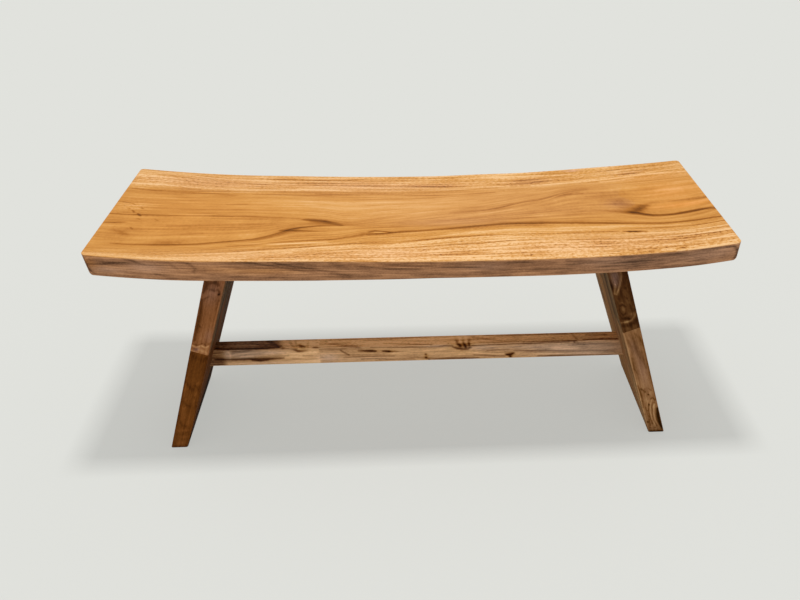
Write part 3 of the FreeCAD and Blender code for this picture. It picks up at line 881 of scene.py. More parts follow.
def in_strips(x, y):
    """How far a place is inside the front strip and inside the back strip: a soft step from 0
    to 1 across the grain line where the front one begins, and across a wavy line for the back."""
    front = soft_step(smooth_through(x, GRAIN_LINES[-118.0]) - y, STRIP_BLUR[0])
    waves = sum(height * np.sin(x / length + shift) for height, length, shift in BACK_WAVES)
    return front, soft_step(y - BACK_STRIP_START - waves, STRIP_BLUR[1])


def seat_openness(x, y):
    """How coarse the grain is: most in the two strips, some below the long ring and at the left
    end, least in the heart."""
    front, back = in_strips(x, y)
    below_ring = soft_step(smooth_through(x, GRAIN_LINES[-85.0]) - y, RING_BLUR)
    strips = HEART_OPEN + FRONT_OPEN * front + BACK_OPEN * back
    return strips + RING_OPEN * below_ring + zones(x, y, COARSE_SPOT)


def seat_face_shade(x, y):
    """Lightness of the top: the heart's shade, raised in the front and back strips, plus the
    patches, plus pale streaks, less the dark rings."""
    front, back = in_strips(x, y)
    base = HEART_SHADE + (FRONT_STRIP_SHADE - HEART_SHADE) * front + (BACK_STRIP_SHADE - HEART_SHADE) * back
    drawn = STREAK_LIFT * strokes(x, y, PALE_STREAKS) - RING_DEPTH * strokes(x, y, SEAT_RINGS)
    return base + zones(x, y, SEAT_PATCHES) + drawn


print("rings drawn on the seat:", len(SEAT_RINGS))

# %% [markdown]
# The front face of the slab cuts through the same rings lower down, where they run nearly level.
# It is browner, because the saw left it rougher and it holds more oil. On that face the rings
# are drawn by place along the seat and depth below the top.

# %% Front face of the seat
EDGE_RINGS = (
    ((-522, -18, 2, 0.9), (-505, -16, 2.2, 0.9), (-490, -13, 2.2, 0.9), (-475, -10, 2, 0.8),
     (-462, -8.5, 2, 0.8), (-450, -8.5, 2, 0.7), (-438, -8, 2, 0.4)),
    ((-462, -1, 2, 0.8), (-452, -2.5, 2.4, 1.1), (-446, -5, 2.4, 1.1), (-438, -8, 2.2, 0.9),
     (-430, -9, 1.8, 0.3)),
    ((-522, -12, 3, 0.2), (-510, -8, 3.5, 0.3), (-495, -5, 3, 0.2)),
    ((-415, -8, 2.2, 0.2), (-392, -7, 2.6, 0.4), (-384, -12, 2.6, 0.4), (-380, -18, 2.4, 0.3)),
    ((-385, -1, 2.2, 0.5), (-368, -3, 2.6, 0.6), (-359, -8, 2.4, 0.6), (-353, -14, 2, 0.5),
     (-358, -20, 1.8, 0.3)),
    ((-420, -24, 2, 0.3), (-405, -29, 2.2, 0.6), (-392, -31, 2, 0.5), (-370, -31, 1.8, 0.3)),
    ((-345, -22, 2, 0.2), (-300, -28, 2.4, 0.4), (-240, -29, 2.4, 0.45), (-180, -30, 2.2, 0.4),
     (-110, -29, 2, 0.6)),
    ((-296, 0, 2, 0.7), (-280, -1, 2.2, 1), (-262, -3.5, 2.2, 1), (-245, -6.5, 2.2, 0.9),
     (-228, -9.5, 2.2, 0.8), (-205, -14, 2.2, 0.7), (-185, -18, 2.2, 0.6), (-160, -22, 2, 0.3)),
    ((-250, -1, 1.8, 0.4), (-235, -2, 2, 0.7), (-218, -6, 2.2, 0.9), (-200, -9.5, 2.2, 0.8),
     (-178, -13, 2.2, 0.7), (-155, -17, 2.2, 0.6), (-130, -21, 2.2, 0.4)),
    ((-275, -8, 1.8, 0.3), (-255, -11, 1.8, 0.35), (-230, -14, 1.8, 0.3)),
    ((-215, -2, 1.8, 0.2), (-190, -5, 2.2, 0.35), (-165, -9, 2, 0.25)),
    ((-140, -2, 4, 0.35), (-128, -8, 5, 0.45), (-112, -14, 4, 0.35)),
    ((-140, -22, 2.8, 0.4), (-122, -25, 3.4, 0.6), (-100, -27, 2.8, 0.5), (-60, -27, 2.2, 0.3)),
    ((-110, -6, 2, 0.35), (-80, -10, 2.6, 0.45), (-50, -14, 2.2, 0.45), (0, -19, 2, 0.35),
     (40, -22, 1.8, 0.2)),
    ((-75, -3, 1.8, 0.2), (-45, -6, 2, 0.4), (0, -9, 2.2, 0.45), (40, -11, 2.4, 0.45),
     (80, -13, 2.2, 0.4), (120, -16, 1.8, 0.25)),
    ((-60, -20, 1.8, 0.2), (-10, -24, 2.2, 0.35), (60, -27, 2, 0.4), (150, -28, 1.8, 0.3)),
    ((20, -4, 2, 0.25), (80, -5, 2.4, 0.3), (125, -6, 2.4, 0.5), (160, -5.5, 2.8, 0.65),
     (185, -8, 2.2, 0.45), (225, -9, 2, 0.25)),
    ((130, -18, 1.8, 0.2), (190, -18, 2.2, 0.35), (260, -19, 2, 0.35), (330, -20, 1.8, 0.25)),
    ((200, -26, 1.8, 0.25), (270, -26, 2, 0.4), (340, -27, 2, 0.35), (400, -25, 1.8, 0.25)),
    ((240, -6, 2.2, 0.35), (280, -9, 2.6, 0.4), (330, -12, 2.4, 0.15), (380, -15, 2.2, 0.1),
     (440, -17, 2, 0.3)),
    ((330, -3, 2.4, 0.4), (356, -5, 3, 0.55), (380, -6, 3, 0.6), (405, -6, 3, 0.5), (430, -8, 3.2, 0.6),
     (450, -10, 2.6, 0.3)),
    ((355, -22, 2, 0.3), (395, -22, 2.2, 0.45), (420, -20, 2, 0.3)),
    ((400, -29, 2, 0.4), (430, -30, 2.2, 0.5), (470, -29, 2, 0.4)),
    ((445, -3, 2, 0.3), (470, -3, 2.4, 0.6), (495, -3, 2.4, 0.9), (512, -5, 2.4, 1.1),
     (519.5, -12, 2.6, 1.5), (521, -22, 2.6, 1.5), (517, -29, 2.4, 1)),
    ((-523, -3, 1.8, 0.6), (-521, -16, 2.2, 1.1), (-516, -28, 2.2, 1.1), (-509, -33, 2, 0.5)),
    ((440, -22, 2, 0.3), (470, -21, 2, 0.4), (500, -19, 1.8, 0.3)),
    ((460, -13, 1.8, 0.3), (490, -12, 1.8, 0.35), (510, -14, 1.6, 0.3)),
)
EDGE_PATCHES = (
    (-490, -23, 26, 6, 0.16), (-470, -7, 26, 4, 0.02), (-428, -16, 30, 8, 0.14),
    (-370, -20, 22, 7, 0.08), (-345, -10, 18, 7, 0.1), (-310, -14, 26, 8, 0.1),
    (-250, -18, 36, 6, 0.14), (-190, -24, 30, 4, 0.1), (-230, -1, 20, 2, 0.06),
    (-140, -17, 24, 5, 0.06), (-60, -4, 50, 3, 0.06), (60, -14, 150, 14, -0.04),
    (110, -10, 30, 4, 0.08), (-360, -29, 60, 4, -0.04), (200, -14, 90, 12, -0.05),
    (350, -14, 90, 16, -0.08), (480, -14, 30, 7, 0.1), (500, -8, 14, 4, 0.08),
)
EDGE_STAINS = (
    (460, -14, 60, 16, 0.14), (340, -14, 80, 16, 0.16), (-490, -24, 26, 5, 0.3),
    (-430, -15, 26, 8, 0.34), (110, -12, 34, 8, 0.2), (300, -10, 40, 6, 0.15),
    (-515, -14, 12, 12, -0.3), (-250, -18, 60, 6, -0.25), (-330, -14, 40, 8, -0.1),
    (-60, -6, 90, 6, -0.1), (480, -12, 40, 10, 0.2),
)
print("rings drawn on the front face:", len(EDGE_RINGS))

# %% [markdown]
# The ends of the slab show end grain: growth rings in slices of circles about the tree's heart,
# which lay below the slab. Sawn across, teak soaks up more oil and looks darker and duller.

# %% End grain
HEART_DEPTH = 120.0
HEART_Y = -20.0
END_SHADE = 0.40
END_STAIN = 0.35
END_SPACING = 8.0
END_RING_DEPTH = 0.20
WIDTH_WAVE = (2.0, 23.0)
REACH_WAVE = (2.5, 11.0)


def end_rings(y, depth):
    """Growth rings on a sawn end: the distance from the tree's heart, and the distance round that
    ring. Two slow waves, each a height and a length over 2 pi, keep the rings from being true
    circles."""
    over = HEART_DEPTH - depth
    reach = np.hypot(y - HEART_Y, over)
    around = reach * np.arctan2(y - HEART_Y, over)
    waves = WIDTH_WAVE[0] * np.sin(y / WIDTH_WAVE[1]) + REACH_WAVE[0] * np.sin(reach / REACH_WAVE[1])
    return reach + waves, around


def end_shade(reach):
    """Lightness on an end: less by the square of (1 + cos) / 2 once every ring spacing."""
    wave = 0.5 + 0.5 * np.cos(2 * np.pi * reach / END_SPACING)
    return END_SHADE - END_RING_DEPTH * wave**2


print("rings across the seat's end: about", round(2 * HALF_DEPTH / END_SPACING))

# %% [markdown]
# Now each point of the slab gets its fields. Which pattern it takes depends on the face it lies
# on, and just below the arris one pattern fades into the next. Down the front face the grain
# fans out a little, and the streaks are drawn shorter there.

# %% Build the seat
# a face's own pattern starts at this depth below the top and comes in over the blend; points
# within the band of the front edge take the front's
FACE_START = 0.6
FACE_BLEND = 1.2
FRONT_BAND = 7.0
GRAIN_FAN = 0.9
FRONT_STRETCH = 2.0
EDGE_SHADE = 0.325
EDGE_GREY = 0.64
EDGE_PATCH_GAIN = 0.7
EDGE_RING_DEPTH = 0.31
EDGE_OPEN = 0.2
PLAIN_SHADE, PLAIN_STAIN, PLAIN_OPEN = 0.42, 0.3, 0.5
MOST_STAIN = 0.9


def seat_fields(points, depth, ends):
    """Grain place, lightness, stain, tint and openness of every point of the seat. A point on
    the front face takes the edge's own pattern by its depth, one on the back or underside is
    plain, one on an end shows end grain, and the rest take the top's pattern by place."""
    x, y = points[..., 0], points[..., 1]
    below = straight_step(depth, FACE_START, FACE_BLEND)
    on_front = below * (y < FRONT_BAND - HALF_DEPTH)
    on_other = below * (y >= FRONT_BAND - HALF_DEPTH)
    on_top = 1 - on_front - on_other

    edge_rings = EDGE_RING_DEPTH * strokes(x, -depth, EDGE_RINGS)
    edge_shade = EDGE_SHADE + EDGE_PATCH_GAIN * zones(x, -depth, EDGE_PATCHES) - edge_rings
    shade = seat_face_shade(x, y) * on_top + edge_shade * on_front + PLAIN_SHADE * on_other
    rose, gold = zones(x, y, SEAT_STAINS), zones(x, y, SEAT_GOLD)
    golden = (gold > rose) * on_top
    edge_stain = EDGE_GREY + zones(x, -depth, EDGE_STAINS)
    stain = np.maximum(rose, gold) * on_top + edge_stain * on_front + PLAIN_STAIN * on_other
    tint = np.where(golden[..., None] > 0.5, GOLD_TINT, ROSE_TINT)
    open_grain = seat_openness(x, y) * on_top + EDGE_OPEN * on_front + PLAIN_OPEN * on_other
    along = x * np.where(on_front > 0.5, FRONT_STRETCH, 1.0)
    across = grain_across(x, y) + GRAIN_FAN * depth * y / HALF_DEPTH
    grain = np.stack([along, across, depth], axis=-1)

    reach, around = end_rings(y, depth)
    shade = np.where(ends, end_shade(reach), shade)
    stain = np.clip(np.where(ends, END_STAIN, stain), 0, MOST_STAIN)
    open_grain = np.where(ends, 0.0, open_grain)
    grain = np.where(ends[..., None], np.stack([around, reach, 0 * x], axis=-1), grain)
    return {"grain": grain, "shade": shade, "stain": stain, "open": open_grain, "tint": tint}


look_of_seat = seat_fields(rings_of_seat, seat_depth_below, seat_ends)
make_board("seat", rings_of_seat, look_of_seat, seat_teak, ["seat_slab"])

# %% [markdown]
# ## The legs
#
# Each leg is a panel of short teak blocks, four staves side by side with two blocks in each,
# glued end to end. Makers do this to use up offcuts, so every block has its own colour. A block
# could be one box cut out of the panel, but here each is a tube of rings that climbs the lean,
# cut square at the glued joint and scribed to the seat at the top.

# %% Shape of the legs
LEG_FOOT_X = 476.0
LEG_TOP_X = 331.0
LEG_TOP_LEVEL = 405.0
LEG_HALF_THICK = (16.0, 18.0)
LEG_HALF_WIDTH = (116.0, 144.0)
LEG_ARRIS = 2.5
FOOT_RADIUS = 2.5
STAVE_SPLIT = 66.0
SCRIBE_STEPS = 8
BLOCK_STATIONS = 140
# rings round the foot, as shares of its radius
FOOT_STATIONS = np.array((0, 0.08, 0.3, 0.62))
# points across a block's inner or outer face, and across its front or back one by whether that
# is rounded, which the panel's own edges are, or glued to the next block
WIDE_COUNT = 42
NARROW_COUNTS = {True: 28, False: 4}
LEAN = (LEG_FOOT_X - LEG_TOP_X) / LEG_TOP_LEVEL


def leg_middle(z):
    """Distance of a leg's centre line from the middle of the bench, straight from foot to top."""
    return LEG_FOOT_X - LEAN * z


def leg_size(sizes, z):
    """A size that grows evenly from the foot's value to the top's."""
    return sizes[0] + (sizes[1] - sizes[0]) * z / LEG_TOP_LEVEL


def joint_height(joint, t):
    """Height of a cut square to the lean, t being the share of the half thickness outwards."""
    return joint + LEAN * t * leg_size(LEG_HALF_THICK, joint) / (1 + LEAN**2)


def scribed_height(side, t, y):
    """Height where a leg's face meets the seat's underside, found by going up and down between
    the two a few times."""
    z = np.full(np.broadcast(t, y).shape, LEG_TOP_LEVEL)
    for _ in range(SCRIBE_STEPS):
        x = side * (leg_middle(z) + t * leg_size(LEG_HALF_THICK, z))
        z = seat_underside(x, y)
    return z


def stave_edge(edge, z):
    """Place of a stave's side: a number for a seam, or the panel's front or back edge."""
    half = leg_size(LEG_HALF_WIDTH, z)
    return {"front": -half, "back": half}.get(edge, edge)


def block_rings(side, edges, joint, upper):
    """Rings of a block from its lower end to its upper end. Only arrises of the panel's own
    front and back edges are rounded, and glued sides stay sharp. A lower block starts with a few
    close rings that round the foot. Also returns how far outwards of the leg's centre line each
    point lies."""
    front_radius = LEG_ARRIS if edges[0] == "front" else 0.0
    back_radius = LEG_ARRIS if edges[1] == "back" else 0.0
    front_count, back_count = NARROW_COUNTS[front_radius > 0], NARROW_COUNTS[back_radius > 0]
    counts = (front_count, WIDE_COUNT, back_count, WIDE_COUNT)
    ring = section_ring((front_radius, front_radius, back_radius, back_radius), counts)
    t, b, off_t, off_b = ring.T
    share = np.linspace(0, 1, BLOCK_STATIONS)
    if not upper:
        foot = FOOT_RADIUS / joint
        share = np.concatenate((foot * FOOT_STATIONS, np.linspace(foot, 1, BLOCK_STATIONS)))
    share = share[:, None]
    middle_y = (stave_edge(edges[0], joint) + stave_edge(edges[1], joint)) / 2
    if upper:
        low, high = joint_height(joint, t), scribed_height(side, t, middle_y + 0 * t)
    else:
        low, high = 0 * t, joint_height(joint, t)
    z = low * (1 - share) + high * share
    foot_inset = rounding(z, FOOT_RADIUS)
    front = stave_edge(edges[0], z) + foot_inset * (edges[0] == "front")
    back = stave_edge(edges[1], z) - foot_inset * (edges[1] == "back")
    y = front * (1 + b) / 2 + back * (1 - b) / 2 - off_b
    if upper:
        high = scribed_height(side, t, y[-1])
        z = low * (1 - share) + high * share
    out = t * (leg_size(LEG_HALF_THICK, z) - rounding(z, FOOT_RADIUS)) + off_t
    x = side * (leg_middle(z) + out)
    return np.stack(np.broadcast_arrays(x, y, z), axis=-1), out


print("the legs lean by", round(math.degrees(math.atan(LEAN)), 1), "degrees")

# %% [markdown]
# The front of each leg shows two blocks. On the left an upper one of reddish wood, with a pale
# scalloped band at its lower end, stands on one of dark umber. On the right a chocolate block
# with a stained oval stands on one of tan wood with pin knots. These marks are placed by the
# distance from the leg's centre line and the height. A mark darkens and a light makes paler.
# Some lights are painted highlights along the arris between a front and an inner face.

# %% Marks on the legs
LEFT_UPPER_MARKS = (
    ((-16, 392, 4, 0.4), (-12, 384, 5, 0.4), (-13, 374, 4, 0.4), (-14, 366, 2.5, 0.3)),
    ((-5, 385, 3, 0.3), (3, 386, 3, 0.4), (8, 380, 2.5, 0.3)),
    ((-3, 372, 2.5, 0.3), (4, 369, 2, 0.3)),
    ((-10, 354, 2, 0.25), (-3, 358, 1.8, 0.2)),
    ((8, 372, 2, 0.25), (12, 366, 2, 0.3)),
    ((-2, 394, 6, 0.3), (10, 395, 5, 0.25)),
    ((12, 362, 2.2, 1),),
    ((-15, 352, 2.5, 0.4), (-13, 330, 3.5, 0.4), (-14, 300, 3, 0.4), (-14, 265, 2.4, 0.35)),
    ((-12, 300, 1.6, 0.2), (-9, 296, 1.6, 0.25), (-5, 294, 1.4, 0.15)),
    ((14, 350, 1.8, 0.2), (14, 300, 1.8, 0.2), (15, 270, 1.8, 0.2)),
    ((-16, 259, 1.6, 0.2), (-10, 256, 1.6, 0.2), (-6, 255, 1.4, 0.2), (-1, 258, 1.4, 0.2),
     (4, 258, 1.4, 0.2), (8, 254, 1.4, 0.2), (13, 257, 1.4, 0.2)),
    ((-13, 248, 3, 0.3), (-7, 246, 3, 0.35)),
    ((3, 248, 1.6, 0.3), (6, 246, 1.4, 0.2)),
)
LEFT_UPPER_PATCHES = (
    (8, 285, 9, 26, 0.09), (12, 384, 4, 9, 0.1), (0, 364, 12, 5, 0.06), (6, 330, 8, 30, 0.05),
    (-2, 270, 10, 8, 0.05), (0, 248, 14, 5, 0.07), (4, 372, 10, 20, 0.05), (-6, 312, 6, 20, -0.05),
    (0, 380, 14, 14, -0.05),
)
LEFT_UPPER_PALE_LINES_AND_HIGHLIGHT = (
    ((-17, 256, 1.5, 0.9), (-13, 254, 1.6, 0.9), (-9, 251, 1.5, 0.7), (-4, 252, 1.6, 0.9),
     (0, 254, 1.6, 1), (4, 252, 1.5, 0.9), (8, 249, 1.5, 0.8), (13, 252, 1.5, 0.8)),
    ((-16, 243, 1.6, 0.7), (-10, 241, 1.6, 0.7), (-4, 239, 1.6, 0.6)),
    ((0, 244, 3.4, 0.7), (8, 240, 3, 0.8), (13, 236, 2.4, 0.6)),
    # a painted highlight along the arris between the front and the inner face
    ((15.5, 345, 1.4, 0.5), (15, 300, 1.4, 0.6), (15, 262, 1.4, 0.6)),
)
LEFT_LOWER_MARKS = (
    ((-16, 236, 4, 0.3), (-6, 228, 6, 0.25), (6, 222, 7, 0.3), (15, 224, 5, 0.35)),
    ((-14, 172, 2.5, 0.3), (-6, 160, 3, 0.4), (2, 150, 3, 0.3)),
    ((4, 162, 2, 0.3), (12, 152, 2, 0.3)),
    ((-10, 122, 2.4, 0.3), (-4, 112, 2.4, 0.35), (4, 110, 2, 0.25)),
    ((8, 132, 1.6, 0.3), (13, 118, 1.6, 0.3), (15, 100, 1.6, 0.2)),
    ((-14, 92, 2.5, 0.25), (-10, 74, 2.5, 0.25), (-4, 60, 2.5, 0.3), (4, 58, 2, 0.2)),
    ((-14, 40, 2.5, 0.2), (-6, 34, 2.5, 0.16), (4, 38, 2, 0.16), (13, 44, 2, 0.16)),
    ((-12, 3, 2.4, 0.2), (12, 3, 2.4, 0.2)),
    ((-15.5, 220, 1.5, 0.3), (-15, 60, 1.5, 0.3)),
)
LEFT_LOWER_PATCHES = (
    (-13, 152, 4, 16, 0.12), (9, 166, 7, 4, 0.1), (8, 140, 5, 4, 0.1), (9, 122, 4, 9, 0.12),
    (0, 130, 8, 8, 0.04), (0, 82, 12, 18, 0.1), (-8, 106, 4, 6, 0.08), (8, 66, 5, 10, 0.08),
    (0, 47, 13, 4, 0.12), (5, 30, 8, 3, 0.12), (2, 12, 10, 9, 0.2), (0, 30, 16, 30, 0.13),
    (-2, 195, 14, 26, -0.03), (12, 200, 3, 30, -0.05),
)
RIGHT_UPPER_MARKS = (
    ((-17, 372, 2, 0.5), (-16, 360, 3, 0.9), (-17, 350, 2, 0.5)),
    ((8, 394, 3, 0.3), (8, 374, 3, 0.3), (3, 360, 3, 0.35), (-2, 348, 2.6, 0.35), (-8, 334, 3, 0.3)),
    ((14, 388, 4, 0.4), (15, 350, 4, 0.4), (15, 320, 3, 0.3)),
    ((7, 356, 2, 0.6),),
    ((2, 338, 1.6, 0.3), (6, 334, 1.6, 0.3)),
    ((-9, 318, 1.6, 0.4), (-5, 321, 1.8, 0.6), (-1, 316, 1.6, 0.4)),
    ((-13, 312, 1.6, 0.4), (-12, 303, 1.6, 0.3), (-8, 298, 1.8, 0.6), (-3, 302, 1.6, 0.4)),
    ((-11, 290, 1.8, 0.5), (-7, 289, 1.8, 0.5)),
    ((-5, 291, 3.2, 0.9), (1, 289, 2.8, 0.8)),
    ((-12, 273, 4, 0.4), (-2, 275, 4.5, 0.5), (8, 280, 4, 0.5), (16, 290, 3, 0.4)),
    ((8, 318, 2, 0.3), (11, 306, 2, 0.35), (16, 312, 2, 0.2)),
)
RIGHT_UPPER_PATCHES = (
    (-5, 311, 4, 5, 0.16), (-12, 328, 5, 8, 0.08), (5, 326, 6, 5, 0.08), (4, 300, 8, 5, 0.1),
    (-6, 268, 9, 3, 0.06), (12, 300, 4, 4, 0.06), (-13, 302, 2, 6, 0.06), (-6, 382, 8, 14, 0.25),
    (-9, 366, 6, 9, 0.15),
)
RIGHT_UPPER_LIGHTS = (
    ((6, 396, 1.8, 0.5), (5, 380, 1.8, 0.7), (0, 366, 1.8, 0.7), (-5, 354, 1.8, 1), (-11, 343, 2.2, 1)),
    ((-9, 364, 1.6, 0.6), (-12, 354, 1.8, 0.9), (-14, 344, 2.2, 0.9)),
    ((-15, 281, 1.8, 0.6), (-9, 282, 2.2, 0.9), (0, 284, 2.2, 0.9), (6, 288, 1.8, 0.6),
     (12, 296, 1.6, 0.5), (17, 306, 1.4, 0.4)),
    ((-10, 323, 1.3, 0.3), (-5, 326, 1.3, 0.4), (0, 320, 1.3, 0.3)),
)
RIGHT_LOWER_MARKS = (
    ((-3, 250, 5, 0.16), (0, 232, 6, 0.26), (4, 210, 6, 0.34), (8, 192, 5.5, 0.34), (10, 174, 4, 0.16)),
    ((5, 256, 2.4, 0.2), (11, 244, 2.6, 0.3), (15, 228, 2.6, 0.3)),
    ((-12, 240, 3, 0.14), (-6, 222, 3.4, 0.2), (-12, 200, 3, 0.14)),
    ((-11, 196, 3, 0.25), (-12, 170, 3, 0.22), (-8, 158, 2.4, 0.14)),
    ((-9, 120, 2, 0.5), (-4, 114, 1.8, 0.5), (-2, 120, 1.6, 0.3)),
    ((5, 121, 1.6, 0.3), (9, 116, 1.6, 0.4)),
    ((-3, 111.5, 1.6, 0.9),), ((2.5, 104.5, 1.7, 1),), ((-1, 77.5, 2, 1),), ((11, 82, 1.6, 0.7),),
    ((4, 92, 1.6, 0.3), (9, 96, 1.8, 0.5), (13, 90, 1.6, 0.4)),
    ((-14, 128, 1.8, 0.4), (-12, 108, 1.8, 0.5), (-12, 92, 1.8, 0.4), (-14, 70, 1.6, 0.3)),
    ((-7, 62, 1.5, 0.6),), ((-12, 30, 2.2, 0.8),), ((-14, 52, 1.5, 0.5),), ((-4, 26, 1.6, 0.5),),
    ((-10, 14, 1.8, 0.5),), ((-2, 34, 1.5, 0.4),), ((0, 14, 1.8, 0.6),), ((-6, 46, 1.5, 0.4),),
    ((-13, 88, 1.4, 0.4),),
    ((-9, 70, 1.6, 0.4), (-8, 44, 1.8, 0.4), (-9, 20, 2, 0.45)),
    ((-2, 80, 1.3, 0.3), (-5, 62, 1.3, 0.4), (-5, 40, 1.3, 0.4), (-3, 24, 1.3, 0.3)),
    ((8, 84, 1.3, 0.3), (3, 70, 1.3, 0.4), (1, 50, 1.3, 0.45), (1, 34, 1.4, 0.45), (4, 18, 1.4, 0.4)),
    ((14, 68, 2.4, 0.9), (12, 52, 4.2, 1), (11, 36, 5.4, 1), (12, 22, 4.8, 1), (14, 12, 3.4, 1)),
    ((-10, 3, 3.6, 0.8), (0, 3, 3.6, 0.8), (12, 3, 3.6, 0.9)),
    ((15.5, 240, 1.4, 0.3), (15, 130, 1.6, 0.3), (15, 90, 1.4, 0.25)),
)
RIGHT_LOWER_PATCHES = (
    (6, 150, 8, 20, 0.07), (-4, 130, 8, 16, 0.1), (12, 120, 4, 16, 0.08), (6, 222, 6, 8, 0.06),
    (12, 190, 3, 14, 0.08), (0, 228, 16, 24, -0.03), (-12, 222, 3, 14, 0.06), (-4, 90, 10, 8, 0.14),
    (7, 108, 4, 6, 0.12), (8, 74, 5, 6, 0.14), (-12, 60, 4, 8, 0.06), (4, 40, 4, 26, 0.12),
    (-6, 20, 7, 6, 0.04),
)
RIGHT_LOWER_PALE_ARCS_AND_HIGHLIGHT = (
    # a painted highlight along the arris between the front and the inner face
    ((-15.7, 258, 1.3, 0.6), (-15.6, 236, 1.3, 0.9), (-15.4, 200, 1.4, 0.9), (-15.4, 160, 1.4, 0.8),
     (-15.2, 120, 1.4, 0.9), (-15.2, 60, 1.4, 0.7), (-15, 20, 1.2, 0.4)),
    # arcs round the dark wedge at the foot
    ((12, 84, 1.4, 0.6), (7, 72, 1.6, 0.9), (4, 54, 1.6, 1), (4, 36, 1.6, 1), (7, 22, 1.5, 0.8),
     (11, 12, 1.4, 0.5)),
    ((6, 90, 1.4, 0.5), (1, 76, 1.5, 0.8), (-2, 56, 1.5, 0.9), (-2, 38, 1.5, 0.8), (1, 22, 1.4, 0.6)),
    ((-1, 88, 1.3, 0.3), (-6, 72, 1.4, 0.5), (-8, 54, 1.4, 0.6), (-8, 38, 1.4, 0.4)),
)
SCALLOPS = (
    (-18, 257), (-13, 257), (-9, 253), (-4, 254), (0, 256.5), (5, 253.5), (9, 251.5), (14, 255),
    (18, 254),
)
SCALLOP_LIFT = 0.10
SCALLOP_BLUR = 0.8
LEFT_UPPER_STAINS = ((-7, 246, 4.5, 4.5, 0.55), (10, 275, 8, 14, 0.25), (0, 368, 16, 26, 0.35))
RIGHT_UPPER_STAINS = ((-6, 382, 8, 14, 0.8), (-9, 366, 6, 9, 0.5))
RIGHT_LOWER_STAINS = ((2, 170, 10, 44, 0.3), (-4, 225, 8, 20, 0.2))
# for the block of each side, upper or not: lightness, patches, marks and how deep they are,
# lights, some of them painted highlights, and how strong they are, stains
LEG_FRONTS = {
    (-1, True): (
        0.44, LEFT_UPPER_PATCHES, LEFT_UPPER_MARKS, 0.55, LEFT_UPPER_PALE_LINES_AND_HIGHLIGHT, 0.26, LEFT_UPPER_STAINS,
    ),
    (-1, False): (0.42, LEFT_LOWER_PATCHES, LEFT_LOWER_MARKS, 0.36, (), 0.0, ()),
    (1, True): (
        0.42, RIGHT_UPPER_PATCHES, RIGHT_UPPER_MARKS, 0.36, RIGHT_UPPER_LIGHTS, 0.32, RIGHT_UPPER_STAINS,
    ),
    (1, False): (
        0.50, RIGHT_LOWER_PATCHES, RIGHT_LOWER_MARKS, 0.56, RIGHT_LOWER_PALE_ARCS_AND_HIGHLIGHT, 0.30, RIGHT_LOWER_STAINS,
    ),
}


def front_marks(side, upper, across, z):
    """Lightness and stain on the front face of a leg, by side and by block: the block's own
    lightness plus patches, less marks, plus lights. The left upper block is paler below a
    scalloped line."""
    base, patches, marks, mark_depth, lights, light_lift, stains = LEG_FRONTS[side, upper]
    shade = base + zones(across, z, patches) - mark_depth * strokes(across, z, marks)
    # on two blocks the lights include a painted highlight along an arris
    shade = shade + light_lift * strokes(across, z, lights)
    if side < 0 and upper:
        shade = shade + SCALLOP_LIFT * soft_step(smooth_through(across, SCALLOPS) - z, SCALLOP_BLUR)
    return shade, np.clip(zones(across, z, stains), 0, MOST_STAIN)


print("marks on the legs' fronts:", sum(len(front[2]) for front in LEG_FRONTS.values()))

# %% [markdown]
# Each tone of block is the same oiled teak with its own scale of shades. Four tones cover the
# offcuts: a reddish russet, dark umber, chocolate cocoa and tan.

# %% Tones of the leg blocks
LEG_TEXTURE = {"streaks": 0.05, "bands": 0.07, "dashes": 0.06, "pores": 0.07, "clouds": 0.02}
LEG_FINISH = {"rough": 0.8, "sheen": 0.02}
SHADE_STEPS = (0.0, 0.3, 0.5, 0.7, 1.0)
LEG_SHADES = {
    "russet": ("#2A1204", "#683C1A", "#925D36", "#AC784C", "#D2A270"),
    "umber": ("#200C00", "#4E280A", "#6E3F16", "#8C5426", "#B2804A"),
    "cocoa": ("#160800", "#45260F", "#623F20", "#88623C", "#D2AA74"),
    "tan": ("#2C1602", "#6B441E", "#8F643E", "#AB8056", "#D6AE7C"),
}
TONES = {}
for tone_name, tone_shades in LEG_SHADES.items():
    tone_scale = dict(zip(SHADE_STEPS, tone_shades))
    TONES[f"leg_teak_{tone_name}"] = teak(f"offcut_teak_{tone_name}", tone_scale, **LEG_TEXTURE, **LEG_FINISH)
MAUVE_TINT = linear("#86665A")
# the olive hue is painted shade: the cast of shade on the legs' inner faces
OLIVE_SHADE_TINT = linear("#5D4D35")
print("tones:", ", ".join(TONES))

# %% [markdown]
# The panel's inner faces show between the legs, in the shade of the seat. They are drawn too,
# but more loosely: which tone each block has, soft patches, and a few lines along the grain. The
# sides are numbered -1 for the left leg and 1 for the right one.
# Some of that shade is painted: an olive cast on the inner faces, and darkening towards the foot of the left
# leg.

# %% Blocks and inner faces of the legs
STAVES = {
    "front": ("front", -STAVE_SPLIT),
    "mid_front": (-STAVE_SPLIT, 0.0),
    "mid_rear": (0.0, STAVE_SPLIT),
    "rear": (STAVE_SPLIT, "back"),
}
# for each stave: the joint's height on the centre line, and the tone and the lightness of the
# upper and the lower block away from the front face
BLOCKS = {
    "left": {
        "front": (236.9, ("russet", 0.26), ("umber", 0.42)),
        "mid_front": (291.6, ("tan", 0.26), ("russet", 0.36)),
        "mid_rear": (210.6, ("umber", 0.45), ("tan", 0.33)),
        "rear": (267.3, ("tan", 0.28), ("russet", 0.34)),
    },
    "right": {
        "front": (263.25, ("cocoa", 0.62), ("tan", 0.60)),
        "mid_front": (218.7, ("umber", 0.74), ("russet", 0.68)),
        "mid_rear": (299.7, ("tan", 0.50), ("umber", 0.96)),
        "rear": (194.4, ("russet", 0.54), ("tan", 0.74)),
    },
}
